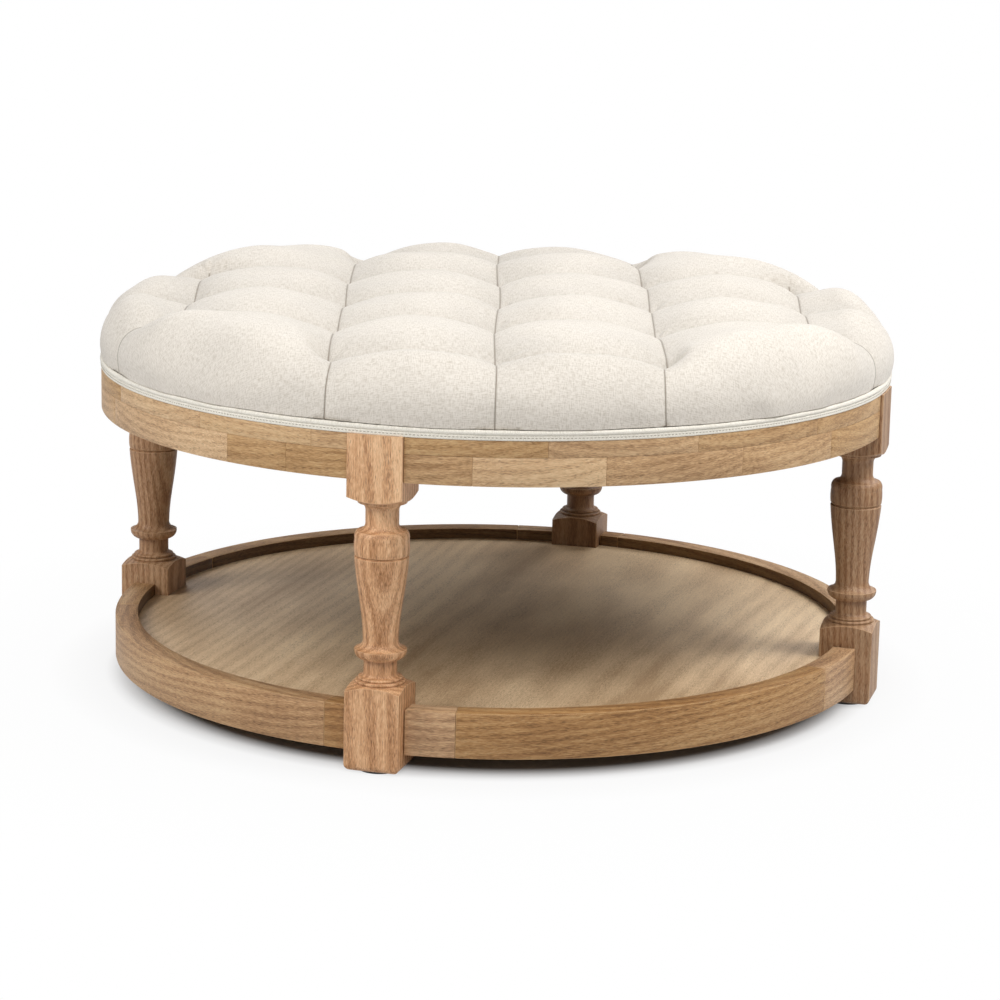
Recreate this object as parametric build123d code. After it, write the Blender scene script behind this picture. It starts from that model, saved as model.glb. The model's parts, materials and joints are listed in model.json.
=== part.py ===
from build123d import *
from math import atan2, cos, degrees, radians, sin, sqrt
import os

# Round tufted ottoman table: four turned oak legs tie a laminated apron ring and a tray shelf.
# Millimetres, +Z up, the floor at Z = 0, the middle of the table on the Z axis.

# Overall sizes
apron_diameter = 1016.0
apron_top_height = 406.0
apron_height = 54.0
apron_upper_height = 20.0
apron_thickness = 40.0

# Legs, on the diagonals of the frame
leg_square = 67.0
leg_proud = 2.5
leg_foot_rounding = 8.0
leg_arris_radius = 1.2
foot_block_height = 96.0
head_block_height = 74.4
shoulder_dome_radius = 105.0
foot_bead_radius = 30.0
foot_bead_height = 4.0
foot_ring_radius = 26.5
foot_ring_height = 3.8
foot_cove_height = 5.0
neck_radius = 19.7
lower_neck_height = 16.0
collar_step = 2.6
collar_radius = 31.0
collar_round_height = 12.0
collar_cove_height = 11.5
vase_foot_radius = 20.9
vase_radius = 32.2
vase_height_shares = (0.1, 0.29, 0.54, 0.79)
vase_swell_shares = (0.04, 0.2, 0.52, 0.82)
groove_height = 3.6
groove_depth = 2.2
drum_radius = 32.8
drum_height = 27.6
drum_shoulder_drop = 3.4
drum_shoulder_height = 9.5
drum_step = 1.6
drum_cove_height = 10.2
upper_neck_height = 14.5
head_lip_radius = 29.0
head_lip_height = 2.8
head_cove_height = 9.0

# Glides and their nails
glide_diameter = 50.0
glide_height = 3.0
glide_edge_radius = 0.8
nail_shank_diameter = 3.0
nail_head_diameter = 8.6
nail_head_height = 1.0
nail_recess_depth = 1.6
nail_length = 21.0

# Shelf: a bent rim of oak segments round a veneered panel
rim_diameter = 984.0
rim_height = 55.0
rim_thickness = 29.0
rim_floor_gap = 23.0
panel_drop = 15.0
panel_thickness = 18.0
edge_softening = 1.0
cleat_height = 20.0
cleat_depth = 22.0
cleat_width = 56.0
cleat_softening = 1.5

# Seat
deck_thickness = 12.0
deck_radius = 500.0
seat_crest_rise = 91.5
seat_bulge_radius = 513.0
seat_bulge_rise = 20.5
seat_roll_lift = 1.0
tuft_pitch = 197.0
tuft_depth = 41.0
edge_puff_reach = 51.0
pleat_depth = 3.5
pleat_width = 5.0
cover_thickness = 1.5
cover_hem_width = 54.0
wadding_thickness = 8.0
twine_diameter = 2.4
twine_knot_diameter = 3.4
tuft_washer_diameter = 20.0
tuft_washer_height = 2.5
tuft_recess_depth = 6.5
dust_cover_thickness = 0.6

# Piping band under the cushion: a corded roll above a stitched flange
piping_proud = 1.5
piping_roll_diameter = 6.5
piping_cord_diameter = 4.0
piping_flange_height = 6.2
piping_flange_setback = 0.7
piping_neck_width = 3.6

# Joinery
apron_dowel_diameter = 10.0
apron_dowel_length = 50.0
apron_dowel_inset = 14.0
rim_dowel_diameter = 8.0
rim_dowel_length = 40.0
rim_dowel_inset = 15.0
corner_block_height = 42.0
corner_block_depth = 44.0
corner_block_drop = 6.0
corner_block_width = 172.0
bolt_diameter = 8.0
bolt_length = 60.0
bolt_tail = 14.0
bolt_washer_diameter = 20.0
bolt_washer_height = 1.6
nut_across_flats = 13.0
nut_height = 6.5
rail_screw_length = 60.0
rail_screw_spread = 67.0
rail_screw_inset = 8.0
seat_screw_length = 58.0
seat_screw_spread = 42.0
cleat_screw_length = 30.0
rim_screw_length = 40.0
cleat_screw_spread = 26.0
screw_shank_diameter = 4.0
screw_head_diameter = 8.4
screw_head_height = 2.6
screw_slot_width = 1.2
screw_slot_depth = 1.1
staple_crown_width = 10.0
staple_wire_width = 1.2
staple_wire_height = 0.6
staple_leg_length = 7.0
hem_staple_inset = 6.0
dust_staple_inset = 10.0

# Clearances and the overrun that cuts share
fit_clearance = 0.2
hole_clearance = 0.1
fabric_clearance = 0.3
apron_joint_gap = 0.6
rim_joint_gap = 1.0
dust_cover_margin = 2.0
overrun = 10.0

# Counts, angles in degrees, and shares of a quarter of the ring
leg_names = ("front", "right", "back", "left")
side_names = ("front_right", "back_right", "back_left", "front_left")
quarter_turn = 90.0
first_leg_angle = -135.0
seat_turn = -29.5
lower_brick_shares = ((0.142, 0.336, 0.56, 0.76), (0.22, 0.42, 0.75, 0.858))
upper_brick_shares = ((0.25, 0.48, 0.72), (0.23, 0.45, 0.692, 0.9))
rim_segment_shares = ((0.123, 0.813), (0.2, 0.915))
cleat_shares = (0.25, 0.5, 0.75)
staple_shares = (1 / 12, 3 / 12, 5 / 12, 7 / 12, 9 / 12, 11 / 12)

# Places worked out from the sizes above
apron_radius = apron_diameter / 2
apron_inner_radius = apron_radius - apron_thickness
apron_bottom_height = apron_top_height - apron_height
apron_split_height = apron_top_height - apron_upper_height
rim_radius = rim_diameter / 2
rim_inner_radius = rim_radius - rim_thickness
rim_top_height = rim_floor_gap + rim_height
panel_top_height = rim_top_height - panel_drop
panel_bottom_height = panel_top_height - panel_thickness
leg_half = leg_square / 2
leg_axis_radius = apron_radius + leg_proud - leg_half
leg_back_radius = leg_axis_radius - leg_half
deck_bottom_height = apron_top_height + cover_thickness
deck_top_height = deck_bottom_height + deck_thickness
skirt_inner_radius = deck_radius + fabric_clearance
skirt_outer_radius = skirt_inner_radius + cover_thickness
hem_inner_radius = skirt_outer_radius - cover_hem_width
tuck_height = deck_top_height - cover_thickness
crest_height = deck_top_height + seat_crest_rise
half_pitch = tuft_pitch / 2
puff_radius = ((half_pitch * sqrt(2)) ** 2 + tuft_depth ** 2) / (2 * tuft_depth)
puff_centre_height = crest_height - puff_radius
roll_radius = seat_crest_rise - seat_bulge_rise + seat_roll_lift
roll_centre_radius = seat_bulge_radius - roll_radius
roll_centre_height = deck_top_height + seat_bulge_rise
dust_cover_radius = hem_inner_radius - dust_cover_margin
dust_cover_bottom = deck_bottom_height - dust_cover_thickness
corner_block_top = apron_top_height - corner_block_drop
corner_block_bottom = corner_block_top - corner_block_height
corner_block_outer = apron_inner_radius - fit_clearance
corner_block_inner = corner_block_outer - corner_block_depth
seat_screw_radius = (corner_block_inner + leg_back_radius) / 2
washer_bottom = deck_bottom_height + tuft_recess_depth - tuft_washer_height


def export_node(name, solids):
    """Write one node, made of one solid or of a group of separate solids."""
    group = [piece for item in solids for piece in item.solids()]
    shape = group[0] if len(group) == 1 else Compound(children=group)
    shape.label = name
    export_step(shape, f"parts/{name}.step")


def upright_cylinder(radius, bottom, top):
    """A round bar on the Z axis between two heights."""
    return Pos(0, 0, bottom) * Cylinder(radius, top - bottom, align=(Align.CENTER, Align.CENTER, Align.MIN))


def sector(inner_radius, outer_radius, bottom, top, start_angle, end_angle, softening=0):
    """A block bent round the Z axis between two angles, with eased long edges."""
    width = outer_radius - inner_radius
    profile = Plane.XZ * Pos(inner_radius + width / 2, (bottom + top) / 2) * Rectangle(width, top - bottom)
    if softening:
        profile = chamfer(profile.vertices(), softening)
    return Rot(0, 0, start_angle) * revolve(profile, Axis.Z, end_angle - start_angle)


def leg_slot(angle, gap):
    """The upright space that a leg's square block takes out of a ring, with a gap at each side."""
    width = leg_square + 2 * gap
    depth = leg_square + 2 * overrun
    box = Box(depth, width, apron_top_height + 2 * overrun, align=(Align.CENTER, Align.CENTER, Align.MIN))
    return Rot(0, 0, angle) * Pos(leg_axis_radius, 0, -overrun) * box


def lathe_line(leg_foot, leg_top):
    """The outline of the turned leg, from the foot up, as radius and height in the XZ plane."""
    corner = leg_square
    dome_reach = sqrt(shoulder_dome_radius ** 2 - (leg_half ** 2 * 2))
    foot_dome_centre = leg_foot + foot_block_height - dome_reach
    head_dome_centre = leg_top - head_block_height + dome_reach

    def dome_rise(radius):
        return sqrt(shoulder_dome_radius ** 2 - radius ** 2)

    mid_dome = (corner + foot_bead_radius) / 2
    z_bead = foot_dome_centre + dome_rise(foot_bead_radius)
    z_ring = z_bead + foot_bead_height
    z_cove = z_ring + foot_ring_height
    z_neck = z_cove + foot_cove_height
    z_collar = z_neck + lower_neck_height
    z_collar_edge = z_collar + collar_round_height
    z_vase = z_collar_edge + collar_cove_height
    z_head_dome = head_dome_centre - dome_rise(head_lip_radius)
    z_head_lip = z_head_dome - head_lip_height
    z_head_cove = z_head_lip - head_cove_height
    z_upper_neck = z_head_cove - upper_neck_height
    z_drum_cove = z_upper_neck - drum_cove_height
    z_drum_shoulder = z_drum_cove - drum_shoulder_height
    z_drum = z_drum_shoulder - (drum_height - drum_shoulder_height)
    z_groove = z_drum - groove_height
    vase_length = z_groove - z_vase
    vase_swell = vase_radius - vase_foot_radius
    shoulder_radius = drum_radius - drum_shoulder_drop
    flare_radius = shoulder_radius - drum_step
    ring_core = foot_ring_radius - foot_ring_height / 2
    bead_core = foot_bead_radius - foot_bead_height / 2
    collar_root = neck_radius + collar_step
    arch = cos(radians(45))

    vase_points = [(vase_foot_radius, z_vase)]
    for height_share, swell_share in zip(vase_height_shares, vase_swell_shares):
        point = (vase_foot_radius + swell_share * vase_swell, z_vase + height_share * vase_length)
        vase_points.append(point)
    vase_points.append((vase_radius, z_groove))

    def cove_middle(wide, narrow, wide_height, narrow_height):
        """The middle of a hollow quarter round from a wide edge in to a narrow one."""
        return (wide - (wide - narrow) * arch, narrow_height + (wide_height - narrow_height) * arch)

    return [
        Line((0, leg_foot), (corner, leg_foot)),
        Line((corner, leg_foot), (corner, foot_dome_centre + dome_rise(corner))),
        ThreePointArc((corner, foot_dome_centre + dome_rise(corner)),
                      (mid_dome, foot_dome_centre + dome_rise(mid_dome)), (foot_bead_radius, z_bead)),
        Line((foot_bead_radius, z_bead), (bead_core, z_bead)),
        ThreePointArc((bead_core, z_bead), (foot_bead_radius, (z_bead + z_ring) / 2), (bead_core, z_ring)),
        Line((bead_core, z_ring), (ring_core, z_ring)),
        ThreePointArc((ring_core, z_ring), (foot_ring_radius, (z_ring + z_cove) / 2), (ring_core, z_cove)),
        ThreePointArc((ring_core, z_cove), cove_middle(ring_core, neck_radius, z_cove, z_neck),
                      (neck_radius, z_neck)),
        Line((neck_radius, z_neck), (neck_radius, z_collar)),
        Line((neck_radius, z_collar), (collar_root, z_collar)),
        ThreePointArc((collar_root, z_collar),
                      (collar_root + (collar_radius - collar_root) * arch,
                       z_collar + collar_round_height * (1 - arch)), (collar_radius, z_collar_edge)),
        ThreePointArc((collar_radius, z_collar_edge),
                      cove_middle(collar_radius, vase_foot_radius, z_collar_edge, z_vase),
                      (vase_foot_radius, z_vase)),
        Spline(*vase_points),
        Line((vase_radius, z_groove), (vase_radius - groove_depth, z_groove + groove_height / 2)),
        Line((vase_radius - groove_depth, z_groove + groove_height / 2), (vase_radius, z_drum)),
        ThreePointArc((vase_radius, z_drum), (drum_radius, (z_drum + z_drum_shoulder) / 2),
                      (vase_radius, z_drum_shoulder)),
        ThreePointArc((vase_radius, z_drum_shoulder),
                      (shoulder_radius + (vase_radius - shoulder_radius) * arch,
                       z_drum_shoulder + drum_shoulder_height * arch), (shoulder_radius, z_drum_cove)),
        Line((shoulder_radius, z_drum_cove), (flare_radius, z_drum_cove)),
        ThreePointArc((flare_radius, z_drum_cove),
                      cove_middle(flare_radius, neck_radius, z_drum_cove, z_upper_neck),
                      (neck_radius, z_upper_neck)),
        Line((neck_radius, z_upper_neck), (neck_radius, z_head_cove)),
        ThreePointArc((neck_radius, z_head_cove),
                      cove_middle(head_lip_radius, neck_radius, z_head_lip, z_head_cove),
                      (head_lip_radius, z_head_lip)),
        Line((head_lip_radius, z_head_lip), (head_lip_radius, z_head_dome)),
        ThreePointArc((head_lip_radius, z_head_dome),
                      (mid_dome, head_dome_centre - dome_rise(mid_dome)),
                      (corner, head_dome_centre - dome_rise(corner))),
        Line((corner, head_dome_centre - dome_rise(corner)), (corner, leg_top)),
        Line((corner, leg_top), (0, leg_top)),
        Line((0, leg_top), (0, leg_foot)),
    ]


def leg_blank():
    """One leg on the Z axis: the turned form trimmed by the square stock it is cut from."""
    leg_length = apron_top_height - glide_height
    stock = Pos(0, 0, glide_height) * Box(leg_square, leg_square, leg_length,
                                          align=(Align.CENTER, Align.CENTER, Align.MIN))
    stock = fillet(stock.edges().filter_by(Axis.Z), leg_arris_radius)
    stock = fillet(stock.faces().sort_by(Axis.Z)[0].edges(), leg_foot_rounding)
    turned = revolve(Plane.XZ * make_face(lathe_line(glide_height, apron_top_height)), Axis.Z)
    return stock & turned


def tangential_bar(diameter, length, leg_angle, side, radius, height):
    """A round bar laid across the joint between a leg's side face and a ring."""
    place = Pos(radius, side * leg_half, height) * Rot(90, 0, 0)
    return Rot(0, 0, leg_angle) * place * Cylinder(diameter / 2, length)


def joint_bars(diameter, length, radius, heights):
    """One bar for every joint between the legs and a ring, at each of the heights."""
    return [tangential_bar(diameter, length, angle, side, radius, height)
            for angle in leg_angles() for side in (-1, 1) for height in heights]


def leg_angles():
    """The four angles at which the legs stand."""
    return [first_leg_angle + quarter_turn * index for index in range(len(leg_names))]


def apron_dowel_set(growth=0):
    """The dowels of the apron's joints, or the holes for them."""
    heights = (apron_bottom_height + apron_dowel_inset, apron_top_height - apron_dowel_inset)
    radius = apron_radius - apron_thickness / 2
    return joint_bars(apron_dowel_diameter + 2 * growth, apron_dowel_length + 2 * growth, radius, heights)


def rim_dowel_set(growth=0):
    """The dowels of the shelf rim's joints, or the holes for them."""
    heights = (rim_floor_gap + rim_dowel_inset, rim_top_height - rim_dowel_inset)
    radius = rim_radius - rim_thickness / 2
    return joint_bars(rim_dowel_diameter + 2 * growth, rim_dowel_length + 2 * growth, radius, heights)


def screw(length, growth=0):
    """A slotted countersunk screw that points up, its head's face at Z = 0, or the hole for one."""
    shank = upright_cylinder(screw_shank_diameter / 2 + growth, 0, length + growth)
    head = Cone(screw_head_diameter / 2 + growth, screw_shank_diameter / 2 + growth, screw_head_height,
                align=(Align.CENTER, Align.CENTER, Align.MIN))
    body = shank + head
    if growth:
        return body + upright_cylinder(screw_head_diameter / 2 + growth, -overrun, 0)
    slot = Box(screw_head_diameter, screw_slot_width, screw_slot_depth,
               align=(Align.CENTER, Align.CENTER, Align.MIN))
    return body - slot


def corner_places():
    """For every leg and side, the frames of the rail screws and of the seat screws."""
    rail_frames = []
    seat_frames = []
    for angle in leg_angles():
        for side in (-1, 1):
            turn = degrees(rail_screw_spread / apron_inner_radius) * side
            for height in (corner_block_bottom + rail_screw_inset, corner_block_top - rail_screw_inset):
                rail_frames.append(Rot(0, 0, angle + turn) * Pos(corner_block_inner, 0, height) * Rot(0, 90, 0))
            seat_frames.append(Rot(0, 0, angle) * Pos(seat_screw_radius, side * seat_screw_spread,
                                                     corner_block_bottom))
    return rail_frames, seat_frames


def cleat_angles():
    """The middle angle of every cleat under the shelf panel."""
    return [angle + quarter_turn * share for angle in leg_angles() for share in cleat_shares]


def cleat_places():
    """The frames of the screws that go up into the panel and out into the rim."""
    half_turn = degrees(cleat_screw_spread / rim_inner_radius) / 2
    middle = panel_bottom_height - cleat_height / 2
    inner = rim_inner_radius - fit_clearance - cleat_depth
    up = [Rot(0, 0, angle + half_turn) * Pos(inner + cleat_depth / 2, 0, panel_bottom_height - cleat_height)
          for angle in cleat_angles()]
    out = [Rot(0, 0, angle - half_turn) * Pos(inner, 0, middle) * Rot(0, 90, 0) for angle in cleat_angles()]
    return up, out


def ring_cuts(shares, start_angle):
    """The pairs of angles between which the segments of one quarter of a ring lie."""
    stops = [0, *shares, 1]
    turns = [start_angle + quarter_turn * share for share in stops]
    return list(zip(turns[:-1], turns[1:]))


def ring_quarter(index, inner_radius, outer_radius, bottom, top, shares, gap, holes):
    """One quarter of a ring between two legs, as butted segments bored for dowels and screws."""
    start = first_leg_angle + quarter_turn * index
    near = [leg_slot(start, gap), leg_slot(start + quarter_turn, gap)]
    pieces = []
    for low_angle, high_angle in ring_cuts(shares[index % 2], start):
        block = sector(inner_radius, outer_radius, bottom, top, low_angle, high_angle, edge_softening)
        block = block - near
        pieces.append(block - [hole for hole in holes if reaches(block, hole)])
    return pieces


def reaches(block, tool):
    """Whether the boxes round two shapes meet, so that only the cuts that matter are made."""
    one = block.bounding_box(optimal=False)
    two = tool.bounding_box(optimal=False)
    return all((one.min.X < two.max.X, two.min.X < one.max.X, one.min.Y < two.max.Y,
                two.min.Y < one.max.Y, one.min.Z < two.max.Z, two.min.Z < one.max.Z))


def corner_block(angle, holes):
    """The block behind a leg's head that ties it to both rails and takes the seat's screws."""
    half_turn = degrees(corner_block_width / 2 / apron_inner_radius)
    block = sector(corner_block_inner, corner_block_outer, corner_block_bottom, corner_block_top,
                   angle - half_turn, angle + half_turn, cleat_softening)
    return block - [leg_slot(angle, 0), *[hole for hole in holes if reaches(block, hole)]]


def hanger_frames():
    """The frames of the bolts behind the legs, each pointing outwards from its nut's end."""
    height = (corner_block_bottom + corner_block_top) / 2
    seat = Pos(corner_block_inner - fit_clearance, 0, height) * Rot(0, 90, 0)
    return [Rot(0, 0, angle) * seat for angle in leg_angles()]


def tuft_spots():
    """The places of the tufts: a square grid of five by five without its corners."""
    steps = range(-2, 3)
    spots = [(column * tuft_pitch, row * tuft_pitch) for column in steps for row in steps
             if abs(column) + abs(row) < 4]
    turn = radians(seat_turn)
    return [(x * cos(turn) - y * sin(turn), x * sin(turn) + y * cos(turn)) for x, y in spots]


def at_tufts(tool):
    """Copies of one upright tool at every tuft."""
    return [Pos(x, y, 0) * tool for x, y in tuft_spots()]


def rolled_disc(inset, bottom):
    """The cushion's outline turned round the Z axis: sides that bulge and roll over to a flat top."""
    radius = roll_radius - inset
    drop = bottom - roll_centre_height
    start = (roll_centre_radius + sqrt(radius ** 2 - drop ** 2), bottom)
    low_turn = atan2(drop, start[0] - roll_centre_radius)
    mid_turn = (low_turn + radians(quarter_turn)) / 2
    middle = (roll_centre_radius + radius * cos(mid_turn), roll_centre_height + radius * sin(mid_turn))
    top = (roll_centre_radius, roll_centre_height + radius)
    outline = [
        Line((0, bottom), start),
        ThreePointArc(start, middle, top),
        Line(top, (0, top[1])),
        Line((0, top[1]), (0, bottom)),
    ]
    return revolve(Plane.XZ * make_face(outline), Axis.Z)


def puffed_form(inset, bottom):
    """The tufted cushion, or a smaller one inside it.

    Each puff is a dome, and all domes share one centre height, so that neighbours meet in upright
    planes: these are the seams, deepest at the tufts. The puffs past the outer tufts are narrower.
    """
    inner_dome = puff_radius - inset
    outer_dome = sqrt(inner_dome ** 2 - half_pitch ** 2 + edge_puff_reach ** 2)
    rim_line = 2 * tuft_pitch
    outer_line = seat_bulge_radius + overrun
    bands = [(step * tuft_pitch, (step + 1) * tuft_pitch, (step + 0.5) * tuft_pitch, inner_dome)
             for step in range(-2, 2)]
    bands.insert(0, (-outer_line, -rim_line, -rim_line - edge_puff_reach, outer_dome))
    bands.append((rim_line, outer_line, rim_line + edge_puff_reach, outer_dome))
    height = crest_height - bottom
    puffs = []
    for left, right, middle_x, dome_x in bands:
        for front, back, middle_y, dome_y in bands:
            if dome_x == outer_dome and dome_y == outer_dome:
                continue
            cell = Pos((left + right) / 2, (front + back) / 2, bottom) * Box(
                right - left, back - front, height, align=(Align.CENTER, Align.CENTER, Align.MIN))
            dome = Pos(middle_x, middle_y, puff_centre_height) * Sphere(min(dome_x, dome_y))
            puffs.append(cell & dome)
    form = puffs[0].fuse(*puffs[1:]) & rolled_disc(inset, bottom)
    form = form - pleat_cuts(inset, bottom)
    return Rot(0, 0, seat_turn) * form


def pleat_cuts(inset, bottom):
    """The upright creases where the outer seams run down the cushion's side."""
    reach = pleat_depth + overrun
    half_width = pleat_width / 2 * reach / pleat_depth
    apex = seat_bulge_radius - pleat_depth - inset
    wedge = Polyline((apex, 0), (apex + reach, -half_width), (apex + reach, half_width), close=True)
    cut = Pos(0, 0, bottom) * extrude(make_face(wedge), crest_height - bottom)
    turns = [quarter_turn * side + degrees(atan2(step * tuft_pitch, sqrt(apex ** 2 - (step * tuft_pitch) ** 2)))
             for side in range(4) for step in (-1, 0, 1)]
    return [Rot(0, 0, turn) * cut for turn in turns]


def staple_places():
    """The frames of the staples under the seat: a ring in the hem and a ring in the dust cover."""
    hem = hem_inner_radius + hem_staple_inset
    dust = dust_cover_radius - dust_staple_inset
    turns = [angle + quarter_turn * share for angle in leg_angles() for share in staple_shares]
    outer = [Rot(0, 0, turn) * Pos(hem, 0, apron_top_height) for turn in turns]
    inner = [Rot(0, 0, turn) * Pos(dust, 0, dust_cover_bottom) for turn in turns]
    return outer + inner


def staple(growth=0):
    """A wire staple with its crown just under Z = 0 and its legs pointing up, or its two slots."""
    reach = (staple_crown_width - staple_wire_height) / 2
    leg = Box(staple_wire_width + 2 * growth, staple_wire_height + 2 * growth, staple_leg_length + growth,
              align=(Align.CENTER, Align.CENTER, Align.MIN))
    legs = [Pos(0, side * reach, 0) * leg for side in (-1, 1)]
    if growth:
        return legs[0] + legs[1]
    crown = Box(staple_wire_width, staple_crown_width, staple_wire_height,
                align=(Align.CENTER, Align.CENTER, Align.MAX))
    return crown + legs


def make_legs():
    """Four turned legs, bored for dowels, bolts and glide nails."""
    blank = leg_blank() - upright_cylinder(nail_shank_diameter / 2 + hole_clearance, 0,
                                           nail_recess_depth + nail_length)
    bolt_hole = upright_cylinder(bolt_diameter / 2 + hole_clearance, 0, bolt_length - bolt_tail + fit_clearance)
    holes = apron_dowel_set(hole_clearance) + rim_dowel_set(hole_clearance)
    for name, angle, frame in zip(leg_names, leg_angles(), hanger_frames()):
        leg = Rot(0, 0, angle) * Pos(leg_axis_radius, 0, 0) * blank
        cuts = [hole for hole in holes if reaches(leg, hole)]
        export_node(f"leg_{name}", [leg - [frame * bolt_hole, *cuts]])


def make_glides():
    """A nailed glide under every leg."""
    disc = fillet(upright_cylinder(glide_diameter / 2, 0, glide_height).edges().sort_by(Axis.Z)[0:1],
                  glide_edge_radius)
    disc = disc - upright_cylinder(nail_shank_diameter / 2 + hole_clearance, 0, glide_height)
    disc = disc - upright_cylinder(nail_head_diameter / 2 + fit_clearance, 0, nail_recess_depth)
    head_bottom = nail_recess_depth - nail_head_height
    nail = upright_cylinder(nail_head_diameter / 2, head_bottom, nail_recess_depth)
    nail = nail + upright_cylinder(nail_shank_diameter / 2, head_bottom, head_bottom + nail_length)
    places = [Rot(0, 0, angle) * Pos(leg_axis_radius, 0, 0) for angle in leg_angles()]
    for name, place in zip(leg_names, places):
        export_node(f"glide_{name}", [place * disc])
    export_node("glide_nails", [place * nail for place in places])


def make_apron():
    """The apron: two courses of oak bricks between the legs, with dowels and corner blocks."""
    rail_frames, seat_frames = corner_places()
    rail_holes = [frame * screw(rail_screw_length, hole_clearance) for frame in rail_frames]
    seat_holes = [frame * screw(seat_screw_length, hole_clearance) for frame in seat_frames]
    bolt = upright_cylinder(bolt_diameter / 2, -bolt_tail, bolt_length - bolt_tail)
    bolt_hole = upright_cylinder(bolt_diameter / 2 + hole_clearance, -overrun, bolt_length)
    washer = upright_cylinder(bolt_washer_diameter / 2, -bolt_washer_height, 0)
    nut_across_corners_radius = nut_across_flats / 2 / cos(radians(30))
    nut_top = -bolt_washer_height
    nut = Pos(0, 0, nut_top - nut_height) * extrude(RegularPolygon(nut_across_corners_radius, 6), nut_height)
    bolt_space = upright_cylinder(bolt_diameter / 2 + hole_clearance, nut_top - nut_height, 0)
    holes = apron_dowel_set(hole_clearance) + rail_holes
    for index, side in enumerate(side_names):
        lower = ring_quarter(index, apron_inner_radius, apron_radius, apron_bottom_height, apron_split_height,
                             lower_brick_shares, apron_joint_gap, holes)
        upper = ring_quarter(index, apron_inner_radius, apron_radius, apron_split_height, apron_top_height,
                             upper_brick_shares, apron_joint_gap, holes)
        export_node(f"apron_lower_{side}", lower)
        export_node(f"apron_upper_{side}", upper)
    frames = hanger_frames()
    for name, angle, frame in zip(leg_names, leg_angles(), frames):
        export_node(f"corner_block_{name}", [corner_block(angle, rail_holes + seat_holes + [frame * bolt_hole])])
    export_node("apron_dowels", apron_dowel_set())
    export_node("corner_block_screws", [frame * screw(rail_screw_length) for frame in rail_frames])
    export_node("seat_screws", [frame * screw(seat_screw_length) for frame in seat_frames])
    export_node("hanger_bolts", [frame * bolt for frame in frames])
    export_node("hanger_washers", [frame * (washer - bolt_space) for frame in frames])
    export_node("hanger_nuts", [frame * (nut - bolt_space) for frame in frames])


def make_shelf():
    """The tray shelf: rim segments between the legs, a veneered panel and the cleats under it."""
    up_frames, out_frames = cleat_places()
    up_holes = [frame * screw(cleat_screw_length, hole_clearance) for frame in up_frames]
    out_holes = [frame * screw(rim_screw_length, hole_clearance) for frame in out_frames]
    holes = rim_dowel_set(hole_clearance) + out_holes
    for index, side in enumerate(side_names):
        quarter = ring_quarter(index, rim_inner_radius, rim_radius, rim_floor_gap, rim_top_height,
                               rim_segment_shares, rim_joint_gap, holes)
        export_node(f"shelf_rim_{side}", quarter)
    panel = upright_cylinder(rim_inner_radius - fit_clearance, panel_bottom_height, panel_top_height)
    panel = panel - [leg_slot(angle, fit_clearance) for angle in leg_angles()] - up_holes
    export_node("shelf_panel", [panel])
    half_turn = degrees(cleat_width / 2 / rim_inner_radius)
    outer = rim_inner_radius - fit_clearance
    cleats = []
    for angle in cleat_angles():
        cleat = sector(outer - cleat_depth, outer, panel_bottom_height - cleat_height, panel_bottom_height,
                       angle - half_turn, angle + half_turn, cleat_softening)
        cleats.append(cleat - [hole for hole in up_holes + out_holes if reaches(cleat, hole)])
    export_node("shelf_cleats", cleats)
    export_node("shelf_panel_screws", [frame * screw(cleat_screw_length) for frame in up_frames])
    export_node("shelf_rim_screws", [frame * screw(rim_screw_length) for frame in out_frames])
    export_node("rim_dowels", rim_dowel_set())


def make_deck():
    """The plywood disc under the cushion, bored for tufting twine, screws and staples."""
    twine_hole = upright_cylinder(twine_diameter / 2 + fabric_clearance, deck_bottom_height, deck_top_height)
    recess = upright_cylinder(tuft_washer_diameter / 2 + fit_clearance, deck_bottom_height,
                              deck_bottom_height + tuft_recess_depth)
    seat_holes = [frame * screw(seat_screw_length, hole_clearance) for frame in corner_places()[1]]
    slots = [frame * staple(hole_clearance) for frame in staple_places()]
    deck = upright_cylinder(deck_radius, deck_bottom_height, deck_top_height)
    deck = deck - at_tufts(twine_hole + recess)
    deck = deck - seat_holes
    export_node("seat_deck", [deck - slots])
    sheet = upright_cylinder(dust_cover_radius, dust_cover_bottom, deck_bottom_height)
    export_node("dust_cover", [sheet - seat_holes - slots])
    export_node("seat_staples", [frame * staple() for frame in staple_places()])
    return slots


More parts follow.
